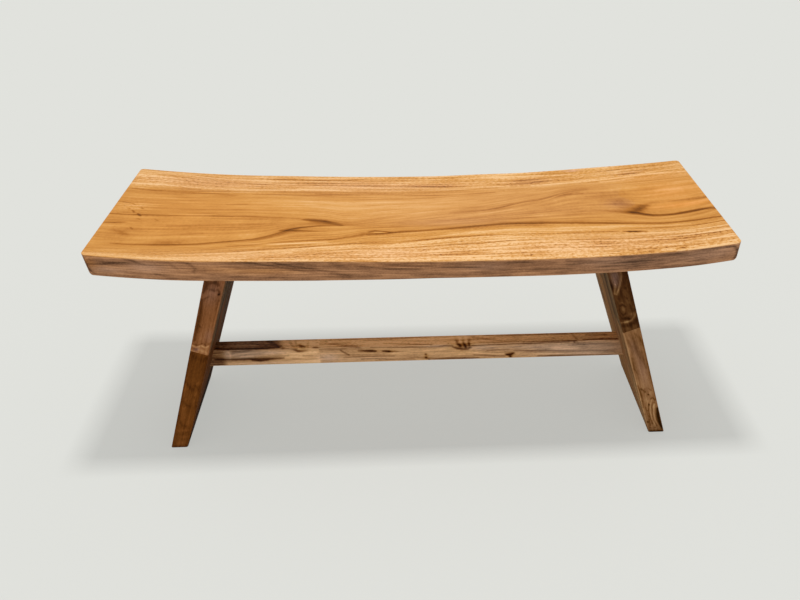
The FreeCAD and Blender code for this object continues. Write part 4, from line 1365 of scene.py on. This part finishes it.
# soft patches on the inner faces: place along the leg's width, height, half sizes, amount
INNER_PATCHES = {
    -1: (
        # the first two patches are painted shade: the left leg's inner face darkens towards the foot
        (-60, 10, 90, 42, -0.36), (40, 20, 60, 60, -0.4), (30, 102, 60, 11, 0.14),
        (-100, 90, 14, 40, 0.05), (-66, 180, 10, 60, -0.1), (0, 150, 12, 70, -0.12),
        (-120, 330, 16, 60, 0.04), (-70, 300, 8, 70, -0.08),
    ),
    1: (
        (-114, 200, 10, 60, -0.24), (-98, 165, 22, 40, -0.14), (-100, 80, 16, 40, 0.1),
        (-136, 300, 10, 60, -0.14), (-60, 210, 40, 16, -0.1), (-120, 330, 8, 50, 0.05),
        (-60, 392, 70, 30, -0.12), (-66, 300, 8, 110, -0.1), (0, 120, 10, 80, -0.08),
        (66, 80, 8, 70, -0.06),
    ),
}
# lines along the grain of the inner faces, upwards: height, place along the leg's width, half
# width, strength
INNER_LINES = {
    -1: (
        ((270, -100, 3, 0.3), (330, -96, 3, 0.5), (390, -104, 3, 0.4)),
        ((300, -24, 4, 0.5), (380, -30, 4, 0.4)),
        ((120, -80, 3, 0.4), (230, -84, 3, 0.4)),
        ((120, -44, 4, 0.4), (260, -40, 4, 0.4)),
        ((130, 20, 5, 0.4), (240, 24, 5, 0.4)),
        ((120, 44, 4, 0.4), (200, 48, 4, 0.3)),
    ),
    1: (
        ((270, -110, 3, 0.4), (320, -104, 3, 0.5), (390, -108, 3, 0.5)),
        ((300, -84, 3, 0.4), (400, -90, 3, 0.4)),
        ((240, -38, 4, 0.4), (390, -44, 4, 0.4)),
        ((230, -16, 4, 0.3), (350, -20, 4, 0.3)),
        ((60, -84, 3, 0.4), (240, -88, 3, 0.4)),
        ((60, -54, 4, 0.3), (180, -50, 4, 0.3)),
        ((50, -28, 4, 0.3), (190, -24, 4, 0.3)),
        ((40, 24, 4, 0.3), (200, 28, 4, 0.3)),
        ((30, 50, 4, 0.3), (150, 48, 4, 0.3)),
        ((20, 82, 4, 0.3), (140, 84, 4, 0.3)),
    ),
}
# painted olive cast of shade on the inner faces, as a share of the olive tint: lower blocks, upper blocks
INNER_SHADE_HUE = {-1: (0.05, 0.62), 1: (0.3, 0.60)}
print("staves a leg:", len(STAVES))

# %% [markdown]
# A block's rings come from the tree it was cut from. The formula takes a heart line beside the
# block, not quite in line with it, and measures each point's distance from it. Every so many
# millimetres of that distance a ring is a little darker, as real growth rings are.

# %% Build the leg blocks
RING_SPACING = 7.0
HEART_AWAY = (40, 90)
HEART_SLANT = 0.06
WAVER = 3.0
WAVER_LENGTH = (60, 110)
WAVER_START = (0, 6)
FIGURE_SHIFT = 900.0
LEG_SEED = 7
LEG_LIFT = 0.05
LEG_RING_DEPTH = 0.16
LEG_OPEN = 0.25
LEG_GRAIN_LEAN = 0.3
INNER_START, INNER_BLEND = 0.75, 0.25
INNER_LINE_DEPTH = 0.25
INNER_LINE_FADE = 20.0
LEG_FRONT_BAND, LEG_FRONT_BLEND = 2.0, 1.5


def growth(along, across, through, draw):
    """Distance from a heart line that passes beside the board, plus a slow waver along it. Where
    the line passes and how it slants are drawn at random, within the limits above."""
    heart = draw.uniform(*HEART_AWAY, 2) * draw.choice((-1, 1), 2)
    slant = draw.uniform(-HEART_SLANT, HEART_SLANT, 2)
    waver = WAVER * np.sin(along / draw.uniform(*WAVER_LENGTH) + draw.uniform(*WAVER_START))
    reach = np.hypot(across - heart[0] - slant[0] * along, through - heart[1] - slant[1] * along)
    return reach + waver


def ring_shade(reach, ring_depth):
    """A gentle dip in lightness once every ring spacing, sharper on one side: the cube of how
    far the place is through its ring."""
    phase = np.mod(reach / RING_SPACING, 1.0)
    return -ring_depth * phase**3


def leg_fields(side, stave, upper, points, out, lightness, draw):
    """Fields of a block: its own rings, the patches and lines of the inner face, and on the
    front blocks the marks of the front face. An inner line is a sharp dark edge that fades out
    slowly to one side."""
    y, z = points[..., 1], points[..., 2]
    reach = growth(z, y, out, draw)
    on_inner = straight_step(-out / leg_size(LEG_HALF_THICK, z), INNER_START, INNER_BLEND)
    shade = lightness + LEG_LIFT + ring_shade(reach, LEG_RING_DEPTH)
    shade = shade + on_inner * zones(y, z, INNER_PATCHES[side])
    for line in INNER_LINES[side]:
        shade = shade - INNER_LINE_DEPTH * on_inner * stroke(z, y, line, INNER_LINE_FADE)
    # on the inner face the stain field paints the olive cast of shade
    stain = INNER_SHADE_HUE[side][int(upper)] * on_inner
    tint = np.broadcast_to(OLIVE_SHADE_TINT, (*z.shape, 4))
    shifted = z + draw.uniform(0, FIGURE_SHIFT), reach + draw.uniform(0, FIGURE_SHIFT)
    grain = np.stack([*shifted, out + y * LEG_GRAIN_LEAN], axis=-1)
    if stave == "front":
        front = straight_step(-y, leg_size(LEG_HALF_WIDTH, z) - LEG_FRONT_BAND, LEG_FRONT_BLEND)
        drawn, drawn_stain = front_marks(side, upper, out * side, z)
        shade = shade * (1 - front) + drawn * front
        stain = stain * (1 - front) + drawn_stain * front
        tint = np.where(front[..., None] > 0.5, MAUVE_TINT, OLIVE_SHADE_TINT)
    open_grain = np.full(z.shape, LEG_OPEN)
    return {"grain": grain, "shade": shade, "stain": stain, "open": open_grain, "tint": tint}


def build_legs():
    """Builds the sixteen blocks: left and right leg, four staves, an upper and a lower block."""
    draw = np.random.default_rng(LEG_SEED)
    for name, side in (("left", -1), ("right", 1)):
        for stave, edges in STAVES.items():
            joint, *tones = BLOCKS[name][stave]
            for part, (tone, lightness) in zip(("upper", "lower"), tones):
                rings, out = block_rings(side, edges, joint, part == "upper")
                fields = leg_fields(side, stave, part == "upper", rings, out, lightness, draw)
                piece = f"{name}_leg_{stave}_{part}"
                slot = f"leg_teak_{tone}"
                make_board(piece, rings, fields, TONES[slot], [f"{piece}_block"])


build_legs()

# %% [markdown]
# ## The stretcher
#
# The rail between the legs is two lengths of teak joined end to end. The left one starts nearly
# black by the leg and turns pinkish tan, the right one is tan with knots. Its shoulders are cut
# to the lean of the legs, and stub tenons go into them.

# %% Shape of the stretcher
RAIL_LOW = 123.0
RAIL_HIGH = 161.0
RAIL_HALF_DEPTH = 15.5
RAIL_MIDDLE = (RAIL_LOW + RAIL_HIGH) / 2
RAIL_HALF_HEIGHT = (RAIL_HIGH - RAIL_LOW) / 2
SPLICE_X = -197.0
TENON_LENGTH = 16.0
TENON_HALF_DEPTH = 6.5
TENON_HALF_HEIGHT = 13.0
RAIL_RING = section_ring((ARRIS,) * 4, (22, 8, 8, 26))
STATION_STEP = 1.6


def shoulder_x(z):
    """Distance of a leg's inner face from the middle of the bench."""
    return leg_middle(z) - leg_size(LEG_HALF_THICK, z)


def rail_rings(left, right):
    """Rings from one end to the other. An end given as None meets a leg: it follows the lean and
    goes on as a smaller tenon. The spliced end is square."""
    a, b, off_a, off_b = RAIL_RING.T
    y = a * RAIL_HALF_DEPTH + off_a
    z = RAIL_MIDDLE + b * RAIL_HALF_HEIGHT + off_b
    start = -shoulder_x(z) if left is None else np.full(z.shape, left)
    stop = shoulder_x(z) if right is None else np.full(z.shape, right)
    count = int((stop.mean() - start.mean()) / STATION_STEP)
    share = np.linspace(0, 1, count)[:, None]
    body = np.stack(np.broadcast_arrays(start * (1 - share) + stop * share, y, z), axis=-1)
    tenon_y = y * TENON_HALF_DEPTH / RAIL_HALF_DEPTH
    tenon_z = RAIL_MIDDLE + (z - RAIL_MIDDLE) * TENON_HALF_HEIGHT / RAIL_HALF_HEIGHT
    root = np.stack([shoulder_x(tenon_z), tenon_y, tenon_z], axis=-1)
    tip = root + np.array((TENON_LENGTH, 0, 0))
    mirror = np.array((-1, 1, 1))
    if left is None:
        return np.concatenate([[tip * mirror], [root * mirror], body])
    return np.concatenate([body, [root], [tip]])


print("the rail is", 2 * RAIL_HALF_DEPTH, "by", 2 * RAIL_HALF_HEIGHT, "mm")

# %% [markdown]
# Its top and front are drawn as one strip, unfolded at the front edge: heights up to 161 mm are
# the front face, and beyond that the strip goes on over the top. A row is place along the rail,
# place on the strip, half width and strength, as on the seat.

# %% Marks on the stretcher
RAIL_MARKS = (
    # the dark spindle on the left length
    ((-402, 139, 2, 0.5), (-370, 138.5, 2.6, 0.9), (-335, 138, 3, 0.9), (-314, 136.5, 3.8, 0.85),
     (-296, 137.5, 3.6, 0.8), (-268, 138.5, 1.8, 0.6)),
    ((-330, 135, 2, 0.5), (-315, 132.5, 2.4, 0.6), (-300, 134, 2, 0.4)),
    ((-366, 156, 3, 0.3), (-348, 156, 3, 0.25), (-330, 158, 2, 0.2)),
    # the knot near the splice
    ((-236, 172, 4, 0.7), (-232, 167, 5, 1), (-226, 165, 4, 0.8)),
    ((-248, 159, 2.6, 0.4), (-239, 154, 3, 0.7), (-230, 154, 3, 0.55), (-220, 156, 2.4, 0.2)),
    ((-257, 188, 2.4, 0.22), (-253, 177, 3, 0.36), (-248, 167, 3, 0.42), (-241, 160, 2.6, 0.4)),
    ((-246, 186, 2.4, 0.26), (-243, 176, 2.6, 0.36), (-241, 166, 2.4, 0.36)),
    ((-220, 176, 2.4, 0.3), (-219, 163, 2.4, 0.34)),
    ((-208, 163, 2.4, 0.7), (-200, 162, 2.4, 0.8)),
    ((-262, 190, 3, 0.25), (-230, 189, 3, 0.3), (-205, 188, 2.4, 0.25)),
    # bands in the dark end's top, and thin lines between it and the splice
    ((-398, 168, 3, 0.35), (-380, 163, 3, 0.4), (-350, 163, 2.6, 0.4), (-300, 163, 2.6, 0.45),
     (-276, 166, 2.4, 0.25)),
    ((-300, 188, 4, 0.2), (-285, 176, 5, 0.25), (-276, 168, 4, 0.2)),
    ((-230, 142, 1.8, 0.3), (-212, 141.5, 1.8, 0.3)),
    ((-268, 162, 2.4, 0.5), (-256, 161, 2.2, 0.4), (-246, 160, 1.8, 0.2)),
    ((-250, 136, 1.6, 0.2), (-225, 133, 1.6, 0.25), (-205, 135, 1.6, 0.2)),
    # smudges right of the splice
    ((-196, 157, 1.8, 0.3), (-180, 157.5, 2, 0.35), (-160, 156, 1.8, 0.25), (-143, 157, 1.6, 0.2)),
    ((-185, 174, 3, 0.2), (-165, 171, 4, 0.35), (-145, 165, 4.5, 0.38), (-125, 162, 4, 0.35),
     (-115, 156, 3, 0.2)),
    ((-155, 153, 1.8, 0.4), (-148, 147, 2, 0.45), (-140, 142, 2, 0.4)),
    ((-120, 151, 1.8, 0.4), (-108, 150.5, 2, 0.8), (-97, 150, 2.8, 1), (-86, 149, 2, 0.8)),
    ((-72, 148.5, 1.8, 0.6), (-60, 147.5, 2.4, 0.95), (-54, 147, 1.6, 0.5), (-30, 145, 1.4, 0.2),
     (10, 142, 1.2, 0.1)),
    # thin rings along the middle
    ((-96, 158, 1.4, 0.3), (-50, 157, 1.5, 0.4), (0, 156, 1.5, 0.45), (30, 156, 1.8, 0.55),
     (50, 157, 1.8, 0.6), (66, 156.5, 1.8, 0.45)),
    ((-70, 170, 1.6, 0.35), (-30, 166, 1.8, 0.5), (0, 163, 1.8, 0.55), (25, 162, 1.6, 0.4)),
    ((-110, 182, 1.8, 0.25), (-58, 181, 1.8, 0.35), (-20, 178, 1.8, 0.3), (20, 174, 1.8, 0.3)),
    ((-190, 186, 1.6, 0.2), (-140, 188, 2, 0.4), (-60, 187, 2, 0.4), (20, 187, 1.8, 0.3)),
    ((-150, 135, 1.6, 0.25), (-100, 137, 1.8, 0.3), (-50, 136, 1.6, 0.25)),
    ((-20, 132, 1.6, 0.1), (30, 127, 2, 0.4), (80, 126, 2.2, 0.5), (120, 126, 1.6, 0.3)),
    ((-115, 131, 1.8, 0.3), (-95, 131, 1.6, 0.25), (-60, 128, 1.6, 0.3), (-10, 127, 1.6, 0.3)),
    # pin knots
    ((13, 138, 2.4, 0.75),), ((13.5, 130, 2.6, 0.85),), ((20, 125.5, 1.8, 0.6),),
    ((58, 164, 1.8, 0.6),),
    # the big knot with its flames
    ((68, 154, 2.2, 0.5), (76, 150.5, 2.8, 0.62), (87, 148, 3, 0.66), (97, 148, 2.8, 0.62),
     (103, 152, 2.2, 0.5)),
    ((74, 174, 2.6, 0.3), (77, 163, 3.6, 0.66), (82, 156, 3.4, 0.72)),
    ((87, 170, 2.2, 0.34), (90, 160, 3, 0.7), (93, 153, 2.8, 0.7)),
    ((99, 174, 2.4, 0.34), (99, 164, 2.8, 0.64), (100, 156, 2.6, 0.54)),
    ((74, 186, 3, 0.1), (75, 180, 3.4, 0.2), (77, 170, 3, 0.34)),
    ((87, 184, 2.2, 0.08), (88, 178, 2.2, 0.14), (89, 170, 2, 0.22)),
    ((101, 188, 2.8, 0.08), (102, 182, 2.8, 0.16), (102, 172, 2.4, 0.26)),
    ((108, 184, 3, 0.3), (135, 176, 4, 0.34), (165, 170, 3, 0.25)),
    # the right part
    ((105, 156, 1.6, 0.3), (150, 157.5, 1.8, 0.45), (210, 158, 2, 0.5), (250, 159, 1.8, 0.4),
     (300, 158, 1.6, 0.3)),
    ((130, 188, 1.8, 0.3), (180, 187, 2.2, 0.4), (230, 188, 2, 0.45), (300, 187, 2, 0.35)),
    ((120, 164, 1.6, 0.2), (180, 163, 1.8, 0.3), (240, 163, 1.8, 0.35), (280, 162, 1.8, 0.4)),
    ((176, 132, 2.6, 0.8), (183, 131.5, 4, 1), (189, 135, 2.6, 0.8)),
    ((184, 126.5, 2.8, 0.85),),
    ((110, 133, 1.6, 0.3), (150, 130, 1.8, 0.4), (172, 128, 1.8, 0.35)),
    ((120, 139, 1.3, 0.2), (150, 144, 1.4, 0.25), (180, 145, 1.4, 0.25)),
    ((285, 162, 1.8, 0.5), (300, 162, 2.2, 0.75), (314, 162.5, 2, 0.6)),
    ((311, 158.5, 1.8, 0.5),),
    ((312, 182, 2.6, 0.3), (316, 172, 2.6, 0.35), (318, 166, 2, 0.3)),
    ((330, 165, 2.2, 0.4), (370, 166, 3, 0.5), (398, 164, 2.4, 0.5)),
    ((340, 182, 2.6, 0.25), (380, 180, 3, 0.3)),
    ((190, 141, 1.4, 0.25), (260, 139, 1.6, 0.3), (330, 137, 1.6, 0.18), (400, 134, 1.6, 0.12)),
    ((240, 127, 1.6, 0.35), (310, 126, 1.8, 0.35), (390, 125, 1.8, 0.25)),
    ((300, 151, 1.4, 0.2), (350, 153, 1.6, 0.2), (400, 152, 1.6, 0.15)),
)
RAIL_LIGHTS = (
    ((-290, 128, 3, 0.4), (-240, 130, 4, 0.5), (-200, 130, 5, 0.6)),
    ((-268, 148, 4, 0.4), (-235, 147, 4.5, 0.5), (-205, 150, 5, 0.7)),
    ((-374, 156, 1.8, 0.5), (-371, 148, 2, 0.7), (-373, 140, 1.8, 0.4)),
    ((-372, 180, 8, 0.35), (-350, 174, 7, 0.5), (-325, 172, 6, 0.42)),
    ((-312, 182, 4, 0.25), (-296, 180, 4, 0.25)),
    ((-398, 156, 4, 0.1), (-396, 150, 4, 0.1)),
    ((-360, 152, 1.6, 0.4), (-330, 152, 1.6, 0.5), (-290, 152, 1.6, 0.3)),
    ((-350, 145, 1.6, 0.4), (-300, 146, 1.6, 0.4)),
    ((-240, 181, 2.4, 0.4), (-232, 178, 2.4, 0.3)),
    ((-268, 172, 2, 0.3), (-262, 168, 2.4, 0.4)),
    ((-378, 128, 2.2, 0.5), (-350, 128, 2.4, 0.3)),
    ((95, 141, 1.8, 0.35), (120, 137, 1.8, 0.6), (150, 134.5, 1.8, 0.6), (170, 134, 1.6, 0.4)),
    ((80, 136, 1.6, 0.4), (110, 138, 1.6, 0.5), (135, 143, 1.6, 0.4)),
    ((195, 133.5, 1.6, 0.5), (250, 131.5, 1.8, 0.7), (320, 130, 1.8, 0.6), (395, 128, 1.6, 0.5)),
    ((275, 146, 4, 0.5), (295, 145, 5, 0.6), (320, 143, 4, 0.3)),
    ((320, 160, 1.4, 0.4), (360, 160.3, 1.4, 0.5), (400, 157, 1.6, 0.5)),
    ((-130, 178, 3, 0.3), (-90, 175, 3.5, 0.4), (-40, 174, 3, 0.3)),
    ((-190, 166, 3, 0.3), (-175, 180, 3, 0.3)),
    ((-215, 182, 4, 0.5), (-208, 172, 4, 0.4)),
    ((82, 186, 2, 0.5), (82, 172, 1.8, 0.5)),
    ((94, 186, 2, 0.5), (95, 172, 1.8, 0.5)),
    ((-60, 142, 2, 0.3), (0, 146, 3, 0.3), (50, 150, 2.4, 0.3)),
    ((120, 180, 2.4, 0.2), (200, 180, 3, 0.25), (280, 176, 2.4, 0.2)),
    ((-85, 165, 1.6, 0.3), (-40, 160.5, 1.6, 0.4), (20, 159.5, 1.6, 0.4)),
)
RAIL_STAINS = (
    (-396, 148, 10, 16, -0.15), (88, 158, 22, 14, -0.4), (183, 131, 10, 7, -0.4), (14, 132, 6, 8, -0.3),
    (-232, 164, 14, 12, -0.3), (-314, 136, 30, 5, -0.2), (-97, 150, 20, 4, -0.25),
    (-58, 148, 14, 4, -0.25), (-345, 150, 30, 9, 0.9), (-310, 128, 60, 3, 0.4), (-376, 150, 5, 9, 0.6),
    (-290, 152, 30, 5, 0.5), (-180, 137, 20, 9, 0.6), (-340, 178, 70, 14, 0.4), (35, 157, 26, 3, 0.4),
    (120, 151, 34, 6, 0.5), (290, 146, 46, 9, 0.75), (360, 144, 50, 14, 0.75), (220, 150, 60, 6, 0.4),
    (260, 140, 70, 12, 0.14), (330, 130, 80, 4, 0.3), (-120, 131, 60, 4, 0.2),
)
RAIL_PATCHES = (
    (-340, 150, 50, 10, -0.1), (-235, 178, 16, 10, 0.06), (-150, 168, 30, 6, -0.05),
    (-392, 150, 12, 14, 0.06), (0, 180, 60, 6, 0.05), (170, 182, 60, 5, 0.03), (-60, 172, 90, 16, 0.04),
    (350, 176, 60, 14, 0.08), (-325, 150, 44, 7, -0.05), (-230, 138, 30, 12, 0.04),
    (89, 158, 13, 6, -0.16), (210, 174, 90, 14, -0.03),
)
print("marks on the rail:", len(RAIL_MARKS))

# %% [markdown]
# The rail's front is browner than its top. The top is painted paler: painted light, for the light
# from above that the seat keeps off it. The left length is nearly black by the leg: the dark part
# ends close to the leg on the front, and runs on over the top to a slanting edge.

# %% Build the stretcher
RAIL_SEED = 21
# where the dark part ends on the front, and on the top at the strip's middle, with its slant
DARK_FRONT_END, DARK_FRONT_BLUR = -384.0, 2.5
DARK_TOP_END, DARK_TOP_BLUR, DARK_TOP_SLANT = -272.0, 4.0, 0.4
TOP_START, TOP_MIDDLE, TOP_BLUR = 160.0, 175.0, 1.5
DARK_FRONT, DARK_TOP_MORE = 0.46, 0.26
RAIL_SHADES = {
    0.0: "#3E1A02",
    0.25: "#784618",
    0.5: "#AC7842",
    0.7: "#D09C60",
    0.85: "#E8B272",
    1.0: "#FACA8E",
}
RAIL_TEXTURE = {"streaks": 0.10, "bands": 0.07, "dashes": 0.06, "pores": 0.10, "clouds": 0.05}
RAIL_SHEEN = 0.04
PINK_TINT = linear("#A2846C")
RAIL_RING_DEPTH = 0.12
RAIL_MARK_DEPTH = 0.85
RAIL_LIGHT_LIFT = 0.34
# painted light: the rail's top is made paler, standing for light that the seat keeps off it
RAIL_TOP_PAINTED_LIGHT = 0.17
# the right length dims over these stretches, as start and length
RIGHT_TOP_DIM, RIGHT_TOP_STRETCH = 0.10, (80, 60)
RIGHT_DIM, RIGHT_STRETCH = 0.13, (250, 150)
HIDDEN_MARGIN = 1.0
TOP_BLEND = 2.0
RAIL_STAIN, RAIL_TOP_STAIN = 0.34, 0.10
RAIL_OPEN, RAIL_TOP_OPEN = 0.3, 0.7
RAIL_GRAIN_LEAN = 0.3
rail_teak = teak("planed_oiled_teak_rail", RAIL_SHADES, **RAIL_TEXTURE, sheen=RAIL_SHEEN)


def rail_strip(y, z):
    """Place on the unfolded strip: the height on the front face, and past the front edge the
    height of the top plus the distance back from the front."""
    on_top = straight_step(z, RAIL_HIGH - ARRIS, ARRIS)
    return z * (1 - on_top) + (RAIL_HIGH + y + RAIL_HALF_DEPTH) * on_top


def dark_end(x, strip):
    """The left length's dark part: 1 by the leg, fading out along the top further than on the
    front."""
    on_top = soft_step(strip - TOP_START, TOP_BLUR)
    top_end = DARK_TOP_END - DARK_TOP_SLANT * (strip - TOP_MIDDLE)
    top, front = soft_step(top_end - x, DARK_TOP_BLUR), soft_step(DARK_FRONT_END - x, DARK_FRONT_BLUR)
    return top * on_top + front * (1 - on_top)


def rail_fields(rings, base, draw):
    """Fields of one length of the rail. The strip's pattern is drawn on the front and the top,
    and the back and underside have plain rings."""
    x, y, z = rings[..., 0], rings[..., 1], rings[..., 2]
    strip = rail_strip(y, z)
    shown = 1.0 * ((y < RAIL_HALF_DEPTH - HIDDEN_MARGIN) & (z > RAIL_LOW + HIDDEN_MARGIN))
    on_top = straight_step(strip, RAIL_HIGH, TOP_BLEND)
    reach = growth(x, y, z - RAIL_LOW, draw)
    plain = base + ring_shade(reach, RAIL_RING_DEPTH)

    # the top is painted paler here: painted light where the seat shades it
    drawn = base + RAIL_TOP_PAINTED_LIGHT * on_top + zones(x, strip, RAIL_PATCHES)
    drawn = drawn - RAIL_MARK_DEPTH * strokes(x, strip, RAIL_MARKS)
    drawn = drawn + RAIL_LIGHT_LIFT * strokes(x, strip, RAIL_LIGHTS)
    drawn = drawn - RIGHT_TOP_DIM * on_top * straight_step(x, *RIGHT_TOP_STRETCH)
    drawn = drawn - RIGHT_DIM * straight_step(x, *RIGHT_STRETCH)
    drawn = drawn - (DARK_FRONT + DARK_TOP_MORE * on_top) * dark_end(x, strip) * (x < SPLICE_X)
    shade = drawn * shown + plain * (1 - shown)

    shifted = x + draw.uniform(0, FIGURE_SHIFT), reach + draw.uniform(0, FIGURE_SHIFT)
    grain = np.stack([*shifted, z + RAIL_GRAIN_LEAN * y], axis=-1)
    stain = zones(x, strip, RAIL_STAINS) + RAIL_STAIN + (RAIL_TOP_STAIN - RAIL_STAIN) * on_top
    stain = np.clip(stain, 0, MOST_STAIN) * shown
    open_grain = RAIL_OPEN + (RAIL_TOP_OPEN - RAIL_OPEN) * on_top
    return {"grain": grain, "shade": shade, "stain": stain, "open": open_grain, "tint": PINK_TINT}


rail_draw = np.random.default_rng(RAIL_SEED)
for rail_name, limits, base in (("left", (None, SPLICE_X), 0.74), ("right", (SPLICE_X, None), 0.67)):
    rail_points = rail_rings(*limits)
    rail_look = rail_fields(rail_points, base, rail_draw)
    rail_piece = f"stretcher_{rail_name}"
    make_board(rail_piece, rail_points, rail_look, rail_teak, [f"{rail_piece}_block"])

# %% [markdown]
# ## Dowels
#
# The dowels that hold the blocks together are turned beech, hidden once the bench is glued.
# Beech is pale pinkish brown with short fine flecks. Their solids are right as they are, so they
# only get a material. It reads the object's own coordinates, because the solids carry no fields.

# %% Beech dowels
BEECH_IOR = 1.5
BEECH_DARK = linear("#C79468")
BEECH_PALE = linear("#E0B88C")
BEECH_ROUGH, BEECH_ROUGH_SPREAD = 0.5, 0.2
BEECH_BUMP = {"Strength": 0.2, "Distance": 0.1 * MM}
# flecks a metre: across the dowel twice, and along it
FLECK_RATE = (900.0, 900.0, 160.0)


def beech():
    """Turned beech: two close tones mixed by a noise that is stretched along the dowel."""
    material, tree, end = new_material("turned_beech_dowel")
    place = add(tree, "ShaderNodeTexCoord", {}).outputs["Object"]
    scaled = add(tree, "ShaderNodeVectorMath", {0: place, 1: FLECK_RATE}, operation="MULTIPLY")
    noise = {"Vector": scaled.outputs[0], "Scale": 1.0, "Detail": 2.0}
    fleck = add(tree, "ShaderNodeTexNoise", noise).outputs["Fac"]
    tones = {0: fleck, 6: BEECH_DARK, 7: BEECH_PALE}
    gloss = {0: fleck, 1: BEECH_ROUGH_SPREAD, 2: BEECH_ROUGH}
    surface = {
        "Base Color": add(tree, "ShaderNodeMix", tones, data_type="RGBA").outputs[2],
        "Roughness": add(tree, "ShaderNodeMath", gloss, operation="MULTIPLY_ADD").outputs[0],
        "IOR": BEECH_IOR,
        "Normal": add(tree, "ShaderNodeBump", {**BEECH_BUMP, "Height": fleck}).outputs[0],
    }
    shader = add(tree, "ShaderNodeBsdfPrincipled", surface)
    tree.links.new(shader.outputs[0], end)
    return material


beech_dowel = beech()
for node_name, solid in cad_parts.items():
    solid.data.materials.clear()
    solid.data.materials.append(beech_dowel if "dowels" in node_name else seat_teak)
print("groups of dowels:", sum("dowels" in node_name for node_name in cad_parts))
